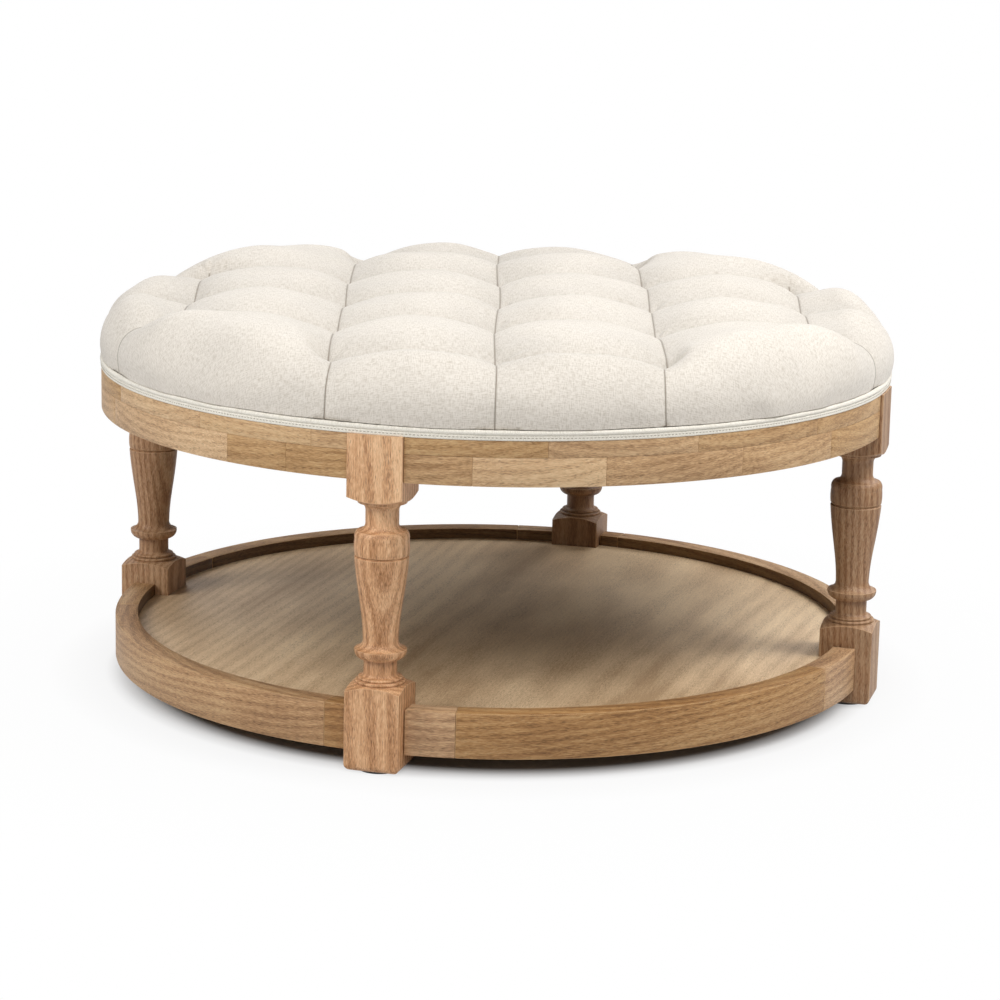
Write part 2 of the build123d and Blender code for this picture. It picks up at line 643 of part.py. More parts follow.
def make_cushion(slots):
    """The foam, its wadding and the sewn cover, all tufted down by twine."""
    wadding_outer = cover_thickness + fabric_clearance
    wadding_inner = wadding_outer + wadding_thickness
    foam_outer = wadding_inner + fabric_clearance
    twine_space = upright_cylinder(twine_diameter / 2 + fabric_clearance, deck_top_height, crest_height)
    foam = puffed_form(foam_outer, deck_top_height) - at_tufts(twine_space)
    export_node("seat_foam", [foam])
    wadding = puffed_form(wadding_outer, deck_top_height) - puffed_form(wadding_inner, deck_top_height)
    export_node("seat_wadding", [wadding - at_tufts(twine_space)])
    cover = puffed_form(0, tuck_height) + upright_cylinder(skirt_outer_radius, apron_top_height, deck_top_height)
    cover = cover - puffed_form(cover_thickness, deck_top_height)
    cover = cover - upright_cylinder(skirt_inner_radius, deck_bottom_height, deck_top_height)
    cover = cover - upright_cylinder(hem_inner_radius, apron_top_height, deck_bottom_height)
    export_node("seat_cover", [cover - [slot for slot in slots if reaches(cover, slot)]])
    inner_dome = puff_radius - cover_thickness
    tuft_top = puff_centre_height + sqrt(inner_dome ** 2 - 2 * half_pitch ** 2) - fabric_clearance
    twine = upright_cylinder(twine_diameter / 2, washer_bottom - twine_knot_diameter / 2, tuft_top)
    knot = Pos(0, 0, washer_bottom - twine_knot_diameter / 2) * Sphere(twine_knot_diameter / 2)
    export_node("tuft_twine", at_tufts(twine + knot))
    washer = upright_cylinder(tuft_washer_diameter / 2, washer_bottom, washer_bottom + tuft_washer_height)
    hole = upright_cylinder(twine_diameter / 2 + hole_clearance, washer_bottom,
                            washer_bottom + tuft_washer_height)
    export_node("tuft_washers", at_tufts(washer - hole))


def make_piping():
    """The double-sewn piping between the cushion and the apron, and the cord inside its roll."""
    outer = apron_radius + piping_proud
    inner = skirt_outer_radius + fabric_clearance
    top = tuck_height - fabric_clearance
    flange_outer = outer - piping_flange_setback
    roll = (outer - piping_roll_diameter / 2, top - piping_roll_diameter / 2)
    flange = Pos((inner + flange_outer) / 2, apron_top_height + piping_flange_height / 2) * Rectangle(
        flange_outer - inner, piping_flange_height)
    neck_height = roll[1] - apron_top_height
    neck = Pos(inner + piping_neck_width / 2, apron_top_height + neck_height / 2) * Rectangle(
        piping_neck_width, neck_height)
    section = flange + neck + Pos(*roll) * Circle(piping_roll_diameter / 2)
    section = section - Pos(*roll) * Circle(piping_cord_diameter / 2 + hole_clearance)
    cord = Pos(*roll) * Circle(piping_cord_diameter / 2)
    export_node("piping_cover", [revolve(Plane.XZ * section, Axis.Z)])
    export_node("piping_cord", [revolve(Plane.XZ * cord, Axis.Z)])


os.makedirs("parts", exist_ok=True)
make_legs()
make_glides()
make_apron()
make_shelf()
make_cushion(make_deck())
make_piping()
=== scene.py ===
"""A round tufted ottoman table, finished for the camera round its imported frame.

The frame brings the turned legs, the joinery and the fasteners. This file models what needs a
closer look, the tufted cushion, its piping, the oak bricks and the shelf's panel, and gives each
surface its finish. Sizes are in millimetres unless a class says otherwise, and are turned to
metres when a mesh is placed.
"""

import json
import logging
import math
import random
from dataclasses import dataclass, field, replace
from enum import Enum
from typing import Iterable, Sequence

import bmesh
import bpy
import numpy as np
from mathutils import Matrix, Vector

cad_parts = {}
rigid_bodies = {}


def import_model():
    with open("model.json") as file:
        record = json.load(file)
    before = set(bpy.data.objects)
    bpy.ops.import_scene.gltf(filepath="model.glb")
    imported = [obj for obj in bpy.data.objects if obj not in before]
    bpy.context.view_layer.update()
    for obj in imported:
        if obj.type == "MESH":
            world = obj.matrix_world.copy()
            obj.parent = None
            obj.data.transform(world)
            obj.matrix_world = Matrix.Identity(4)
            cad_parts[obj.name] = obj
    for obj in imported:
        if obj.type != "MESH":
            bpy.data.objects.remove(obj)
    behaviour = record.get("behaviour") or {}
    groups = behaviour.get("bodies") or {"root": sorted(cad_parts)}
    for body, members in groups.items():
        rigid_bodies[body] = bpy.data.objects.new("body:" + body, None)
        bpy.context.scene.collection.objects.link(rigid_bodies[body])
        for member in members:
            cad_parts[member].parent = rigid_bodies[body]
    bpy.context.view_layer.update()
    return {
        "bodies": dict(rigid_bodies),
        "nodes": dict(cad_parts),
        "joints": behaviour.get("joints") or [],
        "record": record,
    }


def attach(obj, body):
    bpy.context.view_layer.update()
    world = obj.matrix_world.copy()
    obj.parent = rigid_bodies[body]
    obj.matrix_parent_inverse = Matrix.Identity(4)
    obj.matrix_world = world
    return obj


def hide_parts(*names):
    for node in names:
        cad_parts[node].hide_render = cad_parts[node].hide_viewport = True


LOG = logging.getLogger("ottoman")
MM = 0.001
FULL_TURN = 2 * math.pi
QUARTER = math.radians(90)
FIRST_LEG = math.radians(-135)
SHARP_EDGE = math.radians(40)
# A length or share this small stands in for zero where something is divided by it.
TINY = 1e-9
SIDES = ("front_right", "back_right", "back_left", "front_left")
LEGS = ("front", "right", "back", "left")
# What the mesh keeps as the distance to a seam where none is near.
NO_SEAM = 99.0
# A wave texture's rings are this far apart at a scale of one.
WAVE_UNIT = 0.314
# Oak's fibres are 0.1 mm wide and its open pores 0.3 mm, in dashes of up to 7 mm. Both are too fine
# to show, and are drawn this wide.
FIBRE_MM = 1.0
PORE_MM = 0.8

Colour = tuple[float, float, float, float]
Pair = tuple[float, float]
Piece = bpy.types.Object
Tree = bpy.types.NodeTree
Node = bpy.types.Node
Rows = np.ndarray


def linear(code: str) -> Colour:
    """Turn an sRGB hex colour to linear light.

    Args:
        code: six hex digits.

    Returns:
        Red, green, blue and an alpha of one.
    """
    channels = [int(code[i:i + 2], 16) / 255 for i in (0, 2, 4)]
    light = [c / 12.92 if c <= 0.04045 else ((c + 0.055) / 1.055) ** 2.4 for c in channels]
    return (light[0], light[1], light[2], 1.0)


def wire(node: Node, settings: dict | None = None, links: dict | None = None) -> Node:
    """Set a node up and link what feeds it.

    Args:
        node: the node.
        settings: values for the node's own fields, for its input sockets by name or number, and
            for "stops", a ramp's places and colours.
        links: input sockets, by name or number, and what feeds each of them: a socket, or a node,
            which stands for its first output.

    Returns:
        The same node.
    """
    for key, value in (settings or {}).items():
        if key == "stops":
            ramp = node.color_ramp
            while len(ramp.elements) < len(value):
                ramp.elements.new(1.0)
            for element, (place, colour) in zip(ramp.elements, value):
                element.position = place
                element.color = colour
        elif isinstance(key, str) and hasattr(node, key):
            setattr(node, key, value)
        else:
            node.inputs[key].default_value = value
    for key, source in (links or {}).items():
        socket = source.outputs[0] if isinstance(source, Node) else source
        node.id_data.links.new(socket, node.inputs[key])
    return node


def add_node(tree: Tree, kind: str, settings: dict | None = None,
             links: dict | None = None) -> Node:
    """Add a shader node of a kind, with its settings and links as wire takes them."""
    return wire(tree.nodes.new("ShaderNode" + kind), settings, links)


class GrainSource(Enum):
    """Where an oak finish finds the direction of its grain."""

    UPRIGHT = "along the object's Z axis"
    DIAGONAL = "along the line from the front leg to the back leg"
    STAVE = "along each brick, kept in the mesh's own attribute"


@dataclass(frozen=True)
class Finish:
    """What a surface is made of, under the name that its material carries."""

    name: str

    def material(self) -> bpy.types.Material:
        """Make the finish's material the first time it is asked for.

        Returns:
            The material.
        """
        made = bpy.data.materials.get(self.name)
        if made is None:
            made = bpy.data.materials.new(self.name)
            made.use_nodes = True
            self.paint(made.node_tree, made.node_tree.nodes["Principled BSDF"])
        return made

    def paint(self, tree: Tree, shader: Node) -> None:
        """Set up the shader. Each kind of finish has its own way.

        Args:
            tree: the material's node tree.
            shader: its shader.
        """
        raise NotImplementedError

    def dress(self, *pieces: Piece) -> None:
        """Give the pieces this finish and no other.

        Args:
            pieces: mesh objects, new ones or nodes of the frame.
        """
        for piece in pieces:
            if not piece.material_slots:
                piece.data.materials.append(self.material())
            for place in piece.material_slots:
                place.material = self.material()


@dataclass(frozen=True)
class OakFinish(Finish):
    """Solid or veneered oak under a matt lacquer: growth rings, fibres, dark pores and clouds.

    The shares say how much each layer adds to the figure, which runs from the deep colour through
    the mid one to the pale one. Corners turn pale, worn and with a painted highlight, and tone
    lightens or darkens it all: each board's own, and painted light and shade on the legs and the
    rim's inner face.
    """

    deep: str
    mid: str
    pale: str
    pore: str
    source: GrainSource
    ring_mm: float = 6.0
    ring_share: float = 0.10
    streak_mm: float = 2.6
    streak_share: float = 0.30
    fibre_share: float = 0.50
    pore_share: float = 0.6
    cloud_mm: float = 90.0
    cloud_share: float = 0.45
    sway_mm: float = 12.0
    # How pale the corners turn: wear from handling, and a painted highlight.
    edge_wear_and_highlight: float = 0.0
    # A shift in tone: on the legs, painted light and shade.
    tone: float = 0.0
    pith_mm: Pair = (80.0, 60.0)
    tilt: Pair = (2.5, -2.0)
    spread: float = 0.15
    corner_mm: float = 1.6
    relief_mm: float = 0.4
    roughness: float = 0.52

    def grain(self, tree: Tree) -> bpy.types.NodeSocket:
        """Find the direction of the grain.

        Args:
            tree: the material's node tree.

        Returns:
            The socket that gives metres along the grain, then across it twice.
        """
        if self.source is GrainSource.STAVE:
            return add_node(tree, "Attribute", {"attribute_name": "grain"}).outputs["Vector"]
        place = add_node(tree, "TexCoord").outputs["Object"]
        if self.source is GrainSource.DIAGONAL:
            turned = add_node(tree, "Mapping", {"Rotation": (0, 0, math.radians(-45))}, {0: place})
            return turned.outputs[0]
        x, y, z = add_node(tree, "SeparateXYZ", links={0: place}).outputs
        return add_node(tree, "CombineXYZ", links={0: z, 1: x, 2: y}).outputs[0]

    def paint(self, tree: Tree, shader: Node) -> None:
        """Lay the rings, streaks, fibres, pores and clouds over each other.

        Args:
            tree: the material's node tree.
            shader: its shader.
        """
        grain = self.grain(tree)
        turned = add_node(tree, "Mapping", {
            "Rotation": (0, math.radians(self.tilt[0]), math.radians(self.tilt[1])),
            "Location": (0, self.pith_mm[0] * MM, self.pith_mm[1] * MM)}, {0: grain})
        # What is squeezed along the grain runs in long streaks or in short dashes.
        slow, long, dashes = (add_node(tree, "Mapping", {"Scale": (squeeze, 1, 1)}, {0: grain})
                              for squeeze in (0.30, 0.05, 0.12))
        # The grain sways over about 110 mm, and over three times that along the board.
        sway = add_node(tree, "TexNoise", {"Scale": 9.0, "Detail": 2.0}, {"Vector": slow})
        bent = add_node(tree, "VectorMath", {
            "operation": "MULTIPLY_ADD", 1: (0, self.sway_mm * MM, self.sway_mm * MM)},
            {0: sway.outputs[1], 2: turned})
        rings = add_node(tree, "TexWave", {
            "wave_type": "RINGS", "rings_direction": "X", "wave_profile": "SIN",
            "Scale": WAVE_UNIT / (self.ring_mm * MM), "Distortion": 0.6, "Detail": 2.0,
            "Detail Scale": 1.0}, {"Vector": bent}).outputs[1]
        # The late wood is a soft dark line, and has fewer pores than the early wood.
        late = add_node(tree, "MapRange", {"interpolation_type": "SMOOTHSTEP", "From Max": 0.8},
                        {"Value": rings})
        streaks, fibres, pores, clouds = (
            add_node(tree, "TexNoise", {"Scale": 1 / (width * MM), "Detail": detail,
                                        "Roughness": uneven}, {"Vector": laid})
            for width, detail, uneven, laid in (
                (self.streak_mm, 4.0, 0.62, long), (FIBRE_MM, 2.0, 0.6, dashes),
                (PORE_MM, 1.0, 0.5, dashes), (self.cloud_mm, 3.0, 0.6, slow)))
        early = add_node(tree, "Math", {"operation": "MULTIPLY_ADD", 1: -0.09},
                         {0: rings, 2: pores})
        open_pores = add_node(tree, "MapRange", {
            "From Min": 0.53, "From Max": 0.68, "To Min": 0.0, "To Max": self.pore_share},
            {"Value": early})
        figure = None
        for layer, share in ((late, self.ring_share), (streaks, self.streak_share),
                             (fibres, self.fibre_share), (clouds, self.cloud_share)):
            fed = {0: layer} if figure is None else {0: layer, 2: figure}
            figure = add_node(tree, "Math", {"operation": "MULTIPLY_ADD", 1: share, 2: 0.0}, fed)
        # The figure's mean: the late wood's layer is 0.6 on the average, and each noise is 0.5.
        middle = self.ring_share * 0.6 + (
            self.streak_share + self.cloud_share + self.fibre_share) / 2
        colour = add_node(tree, "ValToRGB", {"stops": [
            (middle - self.spread, linear(self.deep)), (middle, linear(self.mid)),
            (middle + self.spread, linear(self.pale))]}, {0: figure})
        dark = add_node(tree, "Mix", {"data_type": "RGBA", 7: linear(self.pore)},
                        {0: open_pores, 6: colour})
        # The mesh's tone: each board's own, and painted shade on the rim's inner face. The finish's
        # tone adds painted light or shade.
        tone = add_node(tree, "Attribute", {"attribute_name": "tone"}).outputs["Fac"]
        bright = add_node(tree, "Math", {"operation": "ADD", 1: 1.0 + self.tone}, {0: tone})
        # A darker tone, the board's own or painted shade, is also a little redder.
        depth = add_node(tree, "MapRange", {
            "From Min": -0.15, "From Max": 0.15, "To Min": 1.12, "To Max": 0.90}, {"Value": tone})
        toned = add_node(tree, "HueSaturation", links={
            "Saturation": depth, "Value": bright, "Color": dark.outputs[2]})
        # The corners turn pale, partly rubbed by handling and partly a painted highlight: where the
        # rounded normal leaves the face's own one.
        rounded = add_node(tree, "Bevel", {"samples": 4, "Radius": self.corner_mm * MM})
        own = add_node(tree, "NewGeometry").outputs["Normal"]
        facing = add_node(tree, "VectorMath", {"operation": "DOT_PRODUCT"}, {0: rounded, 1: own})
        corner = add_node(tree, "MapRange", {
            "From Min": 0.99, "From Max": 0.90, "To Max": self.edge_wear_and_highlight},
            {"Value": facing.outputs["Value"]})
        worn_and_highlit = add_node(tree, "Mix", {"data_type": "RGBA", 7: linear(self.pale)},
                          {0: corner, 6: toned})
        shine = add_node(tree, "MapRange", {
            "To Min": self.roughness - 0.08, "To Max": self.roughness + 0.10}, {"Value": fibres})
        relief = add_node(tree, "Math", {"operation": "MULTIPLY_ADD", 1: -1.2},
                          {0: open_pores, 2: fibres})
        bump = add_node(tree, "Bump", {"Strength": 0.35, "Distance": self.relief_mm * MM},
                        {"Height": relief})
        wire(shader, {"IOR": 1.48},
             {"Base Color": worn_and_highlit.outputs[2], "Roughness": shine, "Normal": bump})


@dataclass(frozen=True)
class LinenFinish(Finish):
    """Plain-weave linen: slubby threads both ways, a soft sheen and dark lines along the seams."""

    light: str
    shade: str
    seam: str
    thread_mm: float = 1.3
    relief_mm: float = 0.22
    slub: float = 0.16
    # How much painted shade darkens the cloth in its hollows.
    hollow_shade: float = 0.30
    seam_mm: Pair = (0.2, 1.6)

    def paint(self, tree: Tree, shader: Node) -> None:
        """Weave the threads on the cloth's own flat coordinates.

        Args:
            tree: the material's node tree.
            shader: its shader.
        """
        flat = add_node(tree, "UVMap", {"uv_map": "cloth"})
        # Threads are 0.4 mm apart in the cloth, too fine to show, and are drawn about three times
        # as wide.
        threads = []
        for squeeze in ((self.slub, 1, 1), (1, self.slub, 1)):
            laid = add_node(tree, "Mapping", {"Scale": squeeze}, {0: flat})
            threads.append(add_node(tree, "TexNoise", {
                "Scale": 1 / (self.thread_mm * MM), "Detail": 2.0, "Roughness": 0.7},
                {"Vector": laid}))
        weave = add_node(tree, "Math", {"operation": "ADD"}, {0: threads[0], 1: threads[1]})
        half = add_node(tree, "Math", {"operation": "MULTIPLY", 1: 0.5}, {0: weave})
        colour = add_node(tree, "ValToRGB", {"stops": [
            (0.39, linear(self.shade)), (0.56, linear(self.light))]}, {0: half})
        # Bleached and greyer patches are about 70 mm across.
        patches = add_node(tree, "TexNoise", {"Scale": 14.0, "Detail": 2.0}, {"Vector": flat})
        level = add_node(tree, "MapRange", {
            "From Min": 0.3, "From Max": 0.7, "To Min": 0.965, "To Max": 1.025},
            {"Value": patches})
        # The cloth is darker in the hollows: painted shade, deepest where the cloth is drawn in
        # furthest.
        hollow = add_node(tree, "Attribute", {"attribute_name": "hollow"}).outputs["Fac"]
        shaded_level = add_node(tree, "Math", {"operation": "MULTIPLY_ADD", 1: -self.hollow_shade},
                         {0: hollow, 2: level})
        cloudy = add_node(tree, "HueSaturation", links={"Value": shaded_level, "Color": colour})
        gap = add_node(tree, "Attribute", {"attribute_name": "seam"}).outputs["Fac"]
        near = add_node(tree, "MapRange", {
            "From Min": self.seam_mm[0], "From Max": self.seam_mm[1], "To Min": 0.9,
            "To Max": 0.0}, {"Value": gap})
        lined = add_node(tree, "Mix", {"data_type": "RGBA", 7: linear(self.seam)},
                         {0: near, 6: cloudy})
        height = add_node(tree, "Math", {"operation": "MULTIPLY_ADD", 1: -2.0},
                          {0: near, 2: half})
        bump = add_node(tree, "Bump", {"Strength": 0.5, "Distance": self.relief_mm * MM},
                        {"Height": height})
        wire(shader, {"Roughness": 0.92, "Specular IOR Level": 0.25, "Sheen Weight": 0.25,
                      "Sheen Roughness": 0.5}, {"Base Color": lined.outputs[2], "Normal": bump})


@dataclass(frozen=True)
class PlainFinish(Finish):
    """A quiet workshop finish: two close colours in a speckle, with its own gloss and relief."""

    dark: str
    light: str
    speck_mm: float
    roughness: float
    metallic: float = 0.0
    relief_mm: float = 0.05
    stretch: float = 1.0

    def paint(self, tree: Tree, shader: Node) -> None:
        """Speckle the surface on the object's own coordinates.

        Args:
            tree: the material's node tree.
            shader: its shader.
        """
        place = add_node(tree, "TexCoord").outputs["Object"]
        laid = add_node(tree, "Mapping", {"Scale": (1, 1, self.stretch)}, {0: place})
        specks = add_node(tree, "TexNoise", {"Scale": 1 / (self.speck_mm * MM), "Detail": 3.0},
                          {"Vector": laid})
        colour = add_node(tree, "ValToRGB", {"stops": [
            (0.35, linear(self.dark)), (0.65, linear(self.light))]}, {0: specks})
        bump = add_node(tree, "Bump", {"Strength": 0.4, "Distance": self.relief_mm * MM},
                        {"Height": specks})
        wire(shader, {"Roughness": self.roughness, "Metallic": self.metallic},
             {"Base Color": colour, "Normal": bump})


# Oak under a matt lacquer, turned: warm, a little red, with fine dark pores along the leg. Its
# raised tone is painted light on the front leg, which wears it.
TURNED_OAK = OakFinish(
    "turned oak, matt lacquer", "946741", "BD9069", "D9B48D", "5C3C26", GrainSource.UPRIGHT,
    ring_mm=8.0, ring_share=0.09, pith_mm=(90.0, -140.0), tilt=(1.5, 2.0), edge_wear_and_highlight=0.8, tone=0.24)
# Each leg is its own length of oak, toned with painted light and shade: those at the sides and the
# back are darker than the front one.
LIT_AND_SHADED_LEG_OAKS = {"front": TURNED_OAK} | {
    leg: replace(TURNED_OAK, name=f"turned oak, {look} length", tone=tone, pith_mm=pith)
    for leg, look, tone, pith in (("right", "brown", -0.30, (150.0, 60.0)),
                                  ("back", "dark", -0.36, (-70.0, 130.0)),
                                  ("left", "dull", -0.08, (60.0, 150.0)))}
# Oak bricks glued in two courses: each brick has its own tone and its grain runs along it.
LAMINATED_OAK = OakFinish(
    "laminated oak bricks, matt lacquer", "957049", "C19B70", "D8B88D", "6C5033",
    GrainSource.STAVE, ring_mm=8.0, ring_share=0.05, streak_share=0.24, sway_mm=8.0)
# Steam-bent oak: browner, the figure runs round the rim.
BENT_OAK = OakFinish("bent oak, matt lacquer", "815C3B", "AF865C", "CDA97D", "50361F",
                     GrainSource.STAVE, ring_mm=9.0, ring_share=0.06, sway_mm=24.0, edge_wear_and_highlight=0.8)
# Crown-cut oak veneer under a grey-brown stain: cloudy light and dark patches, low sheen.
VENEERED_OAK = OakFinish(
    "oak veneer, grey-brown stain", "A88B69", "CEB18D", "E9CEA8", "876A4D", GrainSource.DIAGONAL,
    ring_mm=9.0, ring_share=0.04, streak_mm=3.0, streak_share=0.20, fibre_share=0.34,
    cloud_mm=150.0, cloud_share=0.75, pith_mm=(90.0, 620.0), tilt=(0.6, 3.0), roughness=0.50)
# Natural linen, plain weave: warm off-white, matt, with uneven threads.
COVER_LINEN = LinenFinish("plain-weave linen, natural white", "E6DFD5", "CAC1B4", "877C6F")
# The same linen cut on the bias for the piping, a little lighter where it is stretched.
PIPING_LINEN = LinenFinish("bias-cut linen piping", "EEE9DE", "DAD4C6", "A89E90", thread_mm=1.1)
# Polyester sewing thread: slightly glossy, sunk in the cloth and darker than it.
THREAD = PlainFinish("spun sewing thread", "99917F", "B5AD9E", 0.8, 0.6)
# Planed beech, unfinished: pale pinkish brown with short flecks.
BARE_BEECH = PlainFinish("planed beech, unfinished", "B08A62", "C9A57C", 3.0, 0.75, stretch=0.4)
# Turned and ribbed beech: a little paler and finer than the planed blocks.
DOWEL_BEECH = PlainFinish("ribbed beech dowel", "B8936B", "CFAC84", 2.0, 0.75)
# Birch plywood, sanded: pale with broad clouds.
PLYWOOD = PlainFinish("birch plywood, sanded", "B4905F", "CDAE80", 18.0, 0.7)
# Moulded polyethylene: near black, waxy.
GLIDE_PLASTIC = PlainFinish("moulded polyethylene glide", "1E1814", "2B231D", 1.0, 0.45)
# Zinc-plated steel: pale grey with a fine crystal speckle.
ZINC_STEEL = PlainFinish("zinc-plated steel", "9C9C98", "C2C2BE", 0.8, 0.38, metallic=1.0)
# Spunbonded polypropylene: black, faintly fibrous, quite matt.
DUST_CLOTH = PlainFinish("spunbonded dust cloth", "141414", "242424", 0.9, 0.9)
# Soft cotton filler cord: off-white and fuzzy.
COTTON_CORD = PlainFinish("braided cotton cord", "D8D2C4", "ECE8DE", 1.2, 0.95)
# Waxed linen twine: tan, with a dull waxy gloss.
WAXED_TWINE = PlainFinish("waxed linen twine", "A08A64", "C0AA82", 0.7, 0.6)
# Moulded nylon: dark grey, with a soft gloss.
NYLON_WASHER = PlainFinish("moulded nylon washer", "2C2C2C", "3A3A3A", 1.0, 0.5)


def clear_selection() -> None:
    """Leave edit mode and deselect everything."""
    if bpy.context.object and bpy.context.object.mode != "OBJECT":
        end_edit()
    bpy.ops.object.select_all(action="DESELECT")


def activate(piece: Piece) -> None:
    """Select one object alone and make it the active one.

    Args:
        piece: the object.
    """
    clear_selection()
    piece.select_set(True)
    bpy.context.view_layer.objects.active = piece


def edit_all(piece: Piece) -> None:
    """Open a piece in edit mode, with all of it selected.

    Args:
        piece: the object.
    """
    activate(piece)
    bpy.ops.object.mode_set(mode="EDIT")
    bpy.ops.mesh.select_all(action="SELECT")


def end_edit() -> None:
    """Go back to object mode."""
    bpy.ops.object.mode_set(mode="OBJECT")


def settle(piece: Piece, name: str) -> Piece:
    """Name a new object and bring its place, turn and size into its mesh.

    Args:
        piece: the object.
        name: the name it gets, for the object and its mesh.

    Returns:
        The same object, at the origin.
    """
    activate(piece)
    bpy.ops.object.transform_apply(location=True, rotation=True, scale=True)
    piece.name = name
    piece.data.name = name
    return piece


def apply_modifier(piece: Piece, kind: str, **settings: object) -> None:
    """Add a modifier, set it up and apply it.

    Args:
        piece: the object.
        kind: the modifier's type.
        settings: the modifier's fields.
    """
    activate(piece)
    modifier = piece.modifiers.new(kind.title(), kind)
    for key, value in settings.items():
        setattr(modifier, key, value)
    bpy.ops.object.modifier_apply(modifier=modifier.name)


def ease_edges(piece: Piece, width: float) -> None:
    """Round a piece's sharp edges over a width in millimetres."""
    apply_modifier(piece, "BEVEL", width=width * MM, segments=2, limit_method="ANGLE",
                   angle_limit=SHARP_EDGE)


def smooth(piece: Piece, degrees: float) -> None:
    """Shade a piece smooth, but for edges sharper than the angle."""
    activate(piece)
    bpy.ops.object.shade_smooth_by_angle(angle=math.radians(degrees))


def outward(piece: Piece) -> None:
    """Point all faces of a closed piece outwards.

    Args:
        piece: the object.
    """
    edit_all(piece)
    bpy.ops.mesh.normals_make_consistent(inside=False)
    end_edit()


def points(piece: Piece) -> Rows:
    """Read where the piece's vertices are.

    Args:
        piece: the object.

    Returns:
        Rows of x, y and z.
    """
    flat = np.empty(len(piece.data.vertices) * 3)
    piece.data.vertices.foreach_get("co", flat)
    return flat.reshape(-1, 3)


def place_points(piece: Piece, rows: Rows) -> None:
    """Move the piece's vertices to new rows of x, y and z."""
    piece.data.vertices.foreach_set("co", np.ascontiguousarray(rows).ravel())
    piece.data.update()


def polar(rows: Rows) -> tuple[Rows, Rows]:
    """Return each row's angle round the Z axis and its distance from it."""
    return np.arctan2(rows[:, 1], rows[:, 0]), np.hypot(rows[:, 0], rows[:, 1])


def to_ring(vertices: Iterable, radius: float, height: float) -> None:
    """Move vertices to a ring round the Z axis, each on its own side of it.

    Args:
        vertices: vertices of a mesh or of a bmesh.
        radius: the ring's radius in millimetres.
        height: its height in millimetres.
    """
    for vertex in vertices:
        flat = Vector((vertex.co.x, vertex.co.y, 0)).normalized()
        vertex.co = flat * radius * MM + Vector((0, 0, height * MM))


def open_net(piece: Piece) -> bmesh.types.BMesh:
    """Copy a piece's mesh to a bmesh.

    Args:
        piece: the object.

    Returns:
        The copy, which close_net writes back.
    """
    net = bmesh.new()
    net.from_mesh(piece.data)
    return net


def close_net(net: bmesh.types.BMesh, piece: Piece) -> None:
    """Write a bmesh back to the piece it came from."""
    net.to_mesh(piece.data)
    net.free()


def write_attribute(piece: Piece, name: str, rows: Rows) -> None:
    """Keep one number or one vector for every vertex.

    Args:
        piece: the object.
        name: the attribute's name.
        rows: one value or three per vertex.
    """
    kind, key = ("FLOAT_VECTOR", "vector") if rows.ndim == 2 else ("FLOAT", "value")
    attribute = piece.data.attributes.new(name, kind, "POINT")
    attribute.data.foreach_set(key, np.ascontiguousarray(rows, dtype=np.float32).ravel())


def write_uv(piece: Piece, name: str, rows: Rows) -> None:
    """Write a UV map.

    Args:
        piece: the object.
        name: the map's name.
        rows: two values per vertex.
    """
    layer = piece.data.uv_layers.new(name=name)
    corners = np.empty(len(piece.data.loops), dtype=np.int32)
    piece.data.loops.foreach_get("vertex_index", corners)
    layer.data.foreach_set("uv", np.ascontiguousarray(rows[corners], dtype=np.float32).ravel())


def join(pieces: list[Piece], name: str) -> Piece:
    """Join objects into one.

    Args:
        pieces: the objects.
        name: the joined object's name.

    Returns:
        The joined object.
    """
    clear_selection()
    for piece in pieces:
        piece.select_set(True)
    bpy.context.view_layer.objects.active = pieces[0]
    bpy.ops.object.join()
    return settle(pieces[0], name)


def finish_piece(piece: Piece, finish: Finish, slot: str, *nodes: str) -> None:
    """Dress a new piece, hide the frame's nodes it replaces and attach it to the root body.

    Args:
        piece: the new object.
        finish: its finish.
        slot: the record's material slot; not used.
        nodes: the frame's nodes it replaces, if any.
    """
    finish.dress(piece)
    if nodes:
        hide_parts(*nodes)
    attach(piece, "root")
    LOG.info("%s: %d faces", piece.name, len(piece.data.polygons))


def smoothstep(value: Rows, low: float, high: float) -> Rows:
    """Rise smoothly from 0 at the low value to 1 at the high one."""
    share = np.clip((value - low) / (high - low), 0, 1)
    return share * share * (3 - 2 * share)


def random_wave(dice: np.random.Generator, x: Rows, y: Rows, lengths: Pair) -> Rows:
    """Return a wave over the plane, with a random direction, length and start.

    Args:
        dice: the source of its numbers.
        x: the points' first coordinate.
        y: their second coordinate.
        lengths: the shortest and the longest that it may be.

    Returns:
        Its height at each point, from -1 to 1.
    """
    way = dice.uniform(0, FULL_TURN)
    wave = FULL_TURN / dice.uniform(*lengths)
    start = dice.uniform(0, 6)
    return np.sin((x * np.cos(way) + y * np.sin(way)) * wave + start)


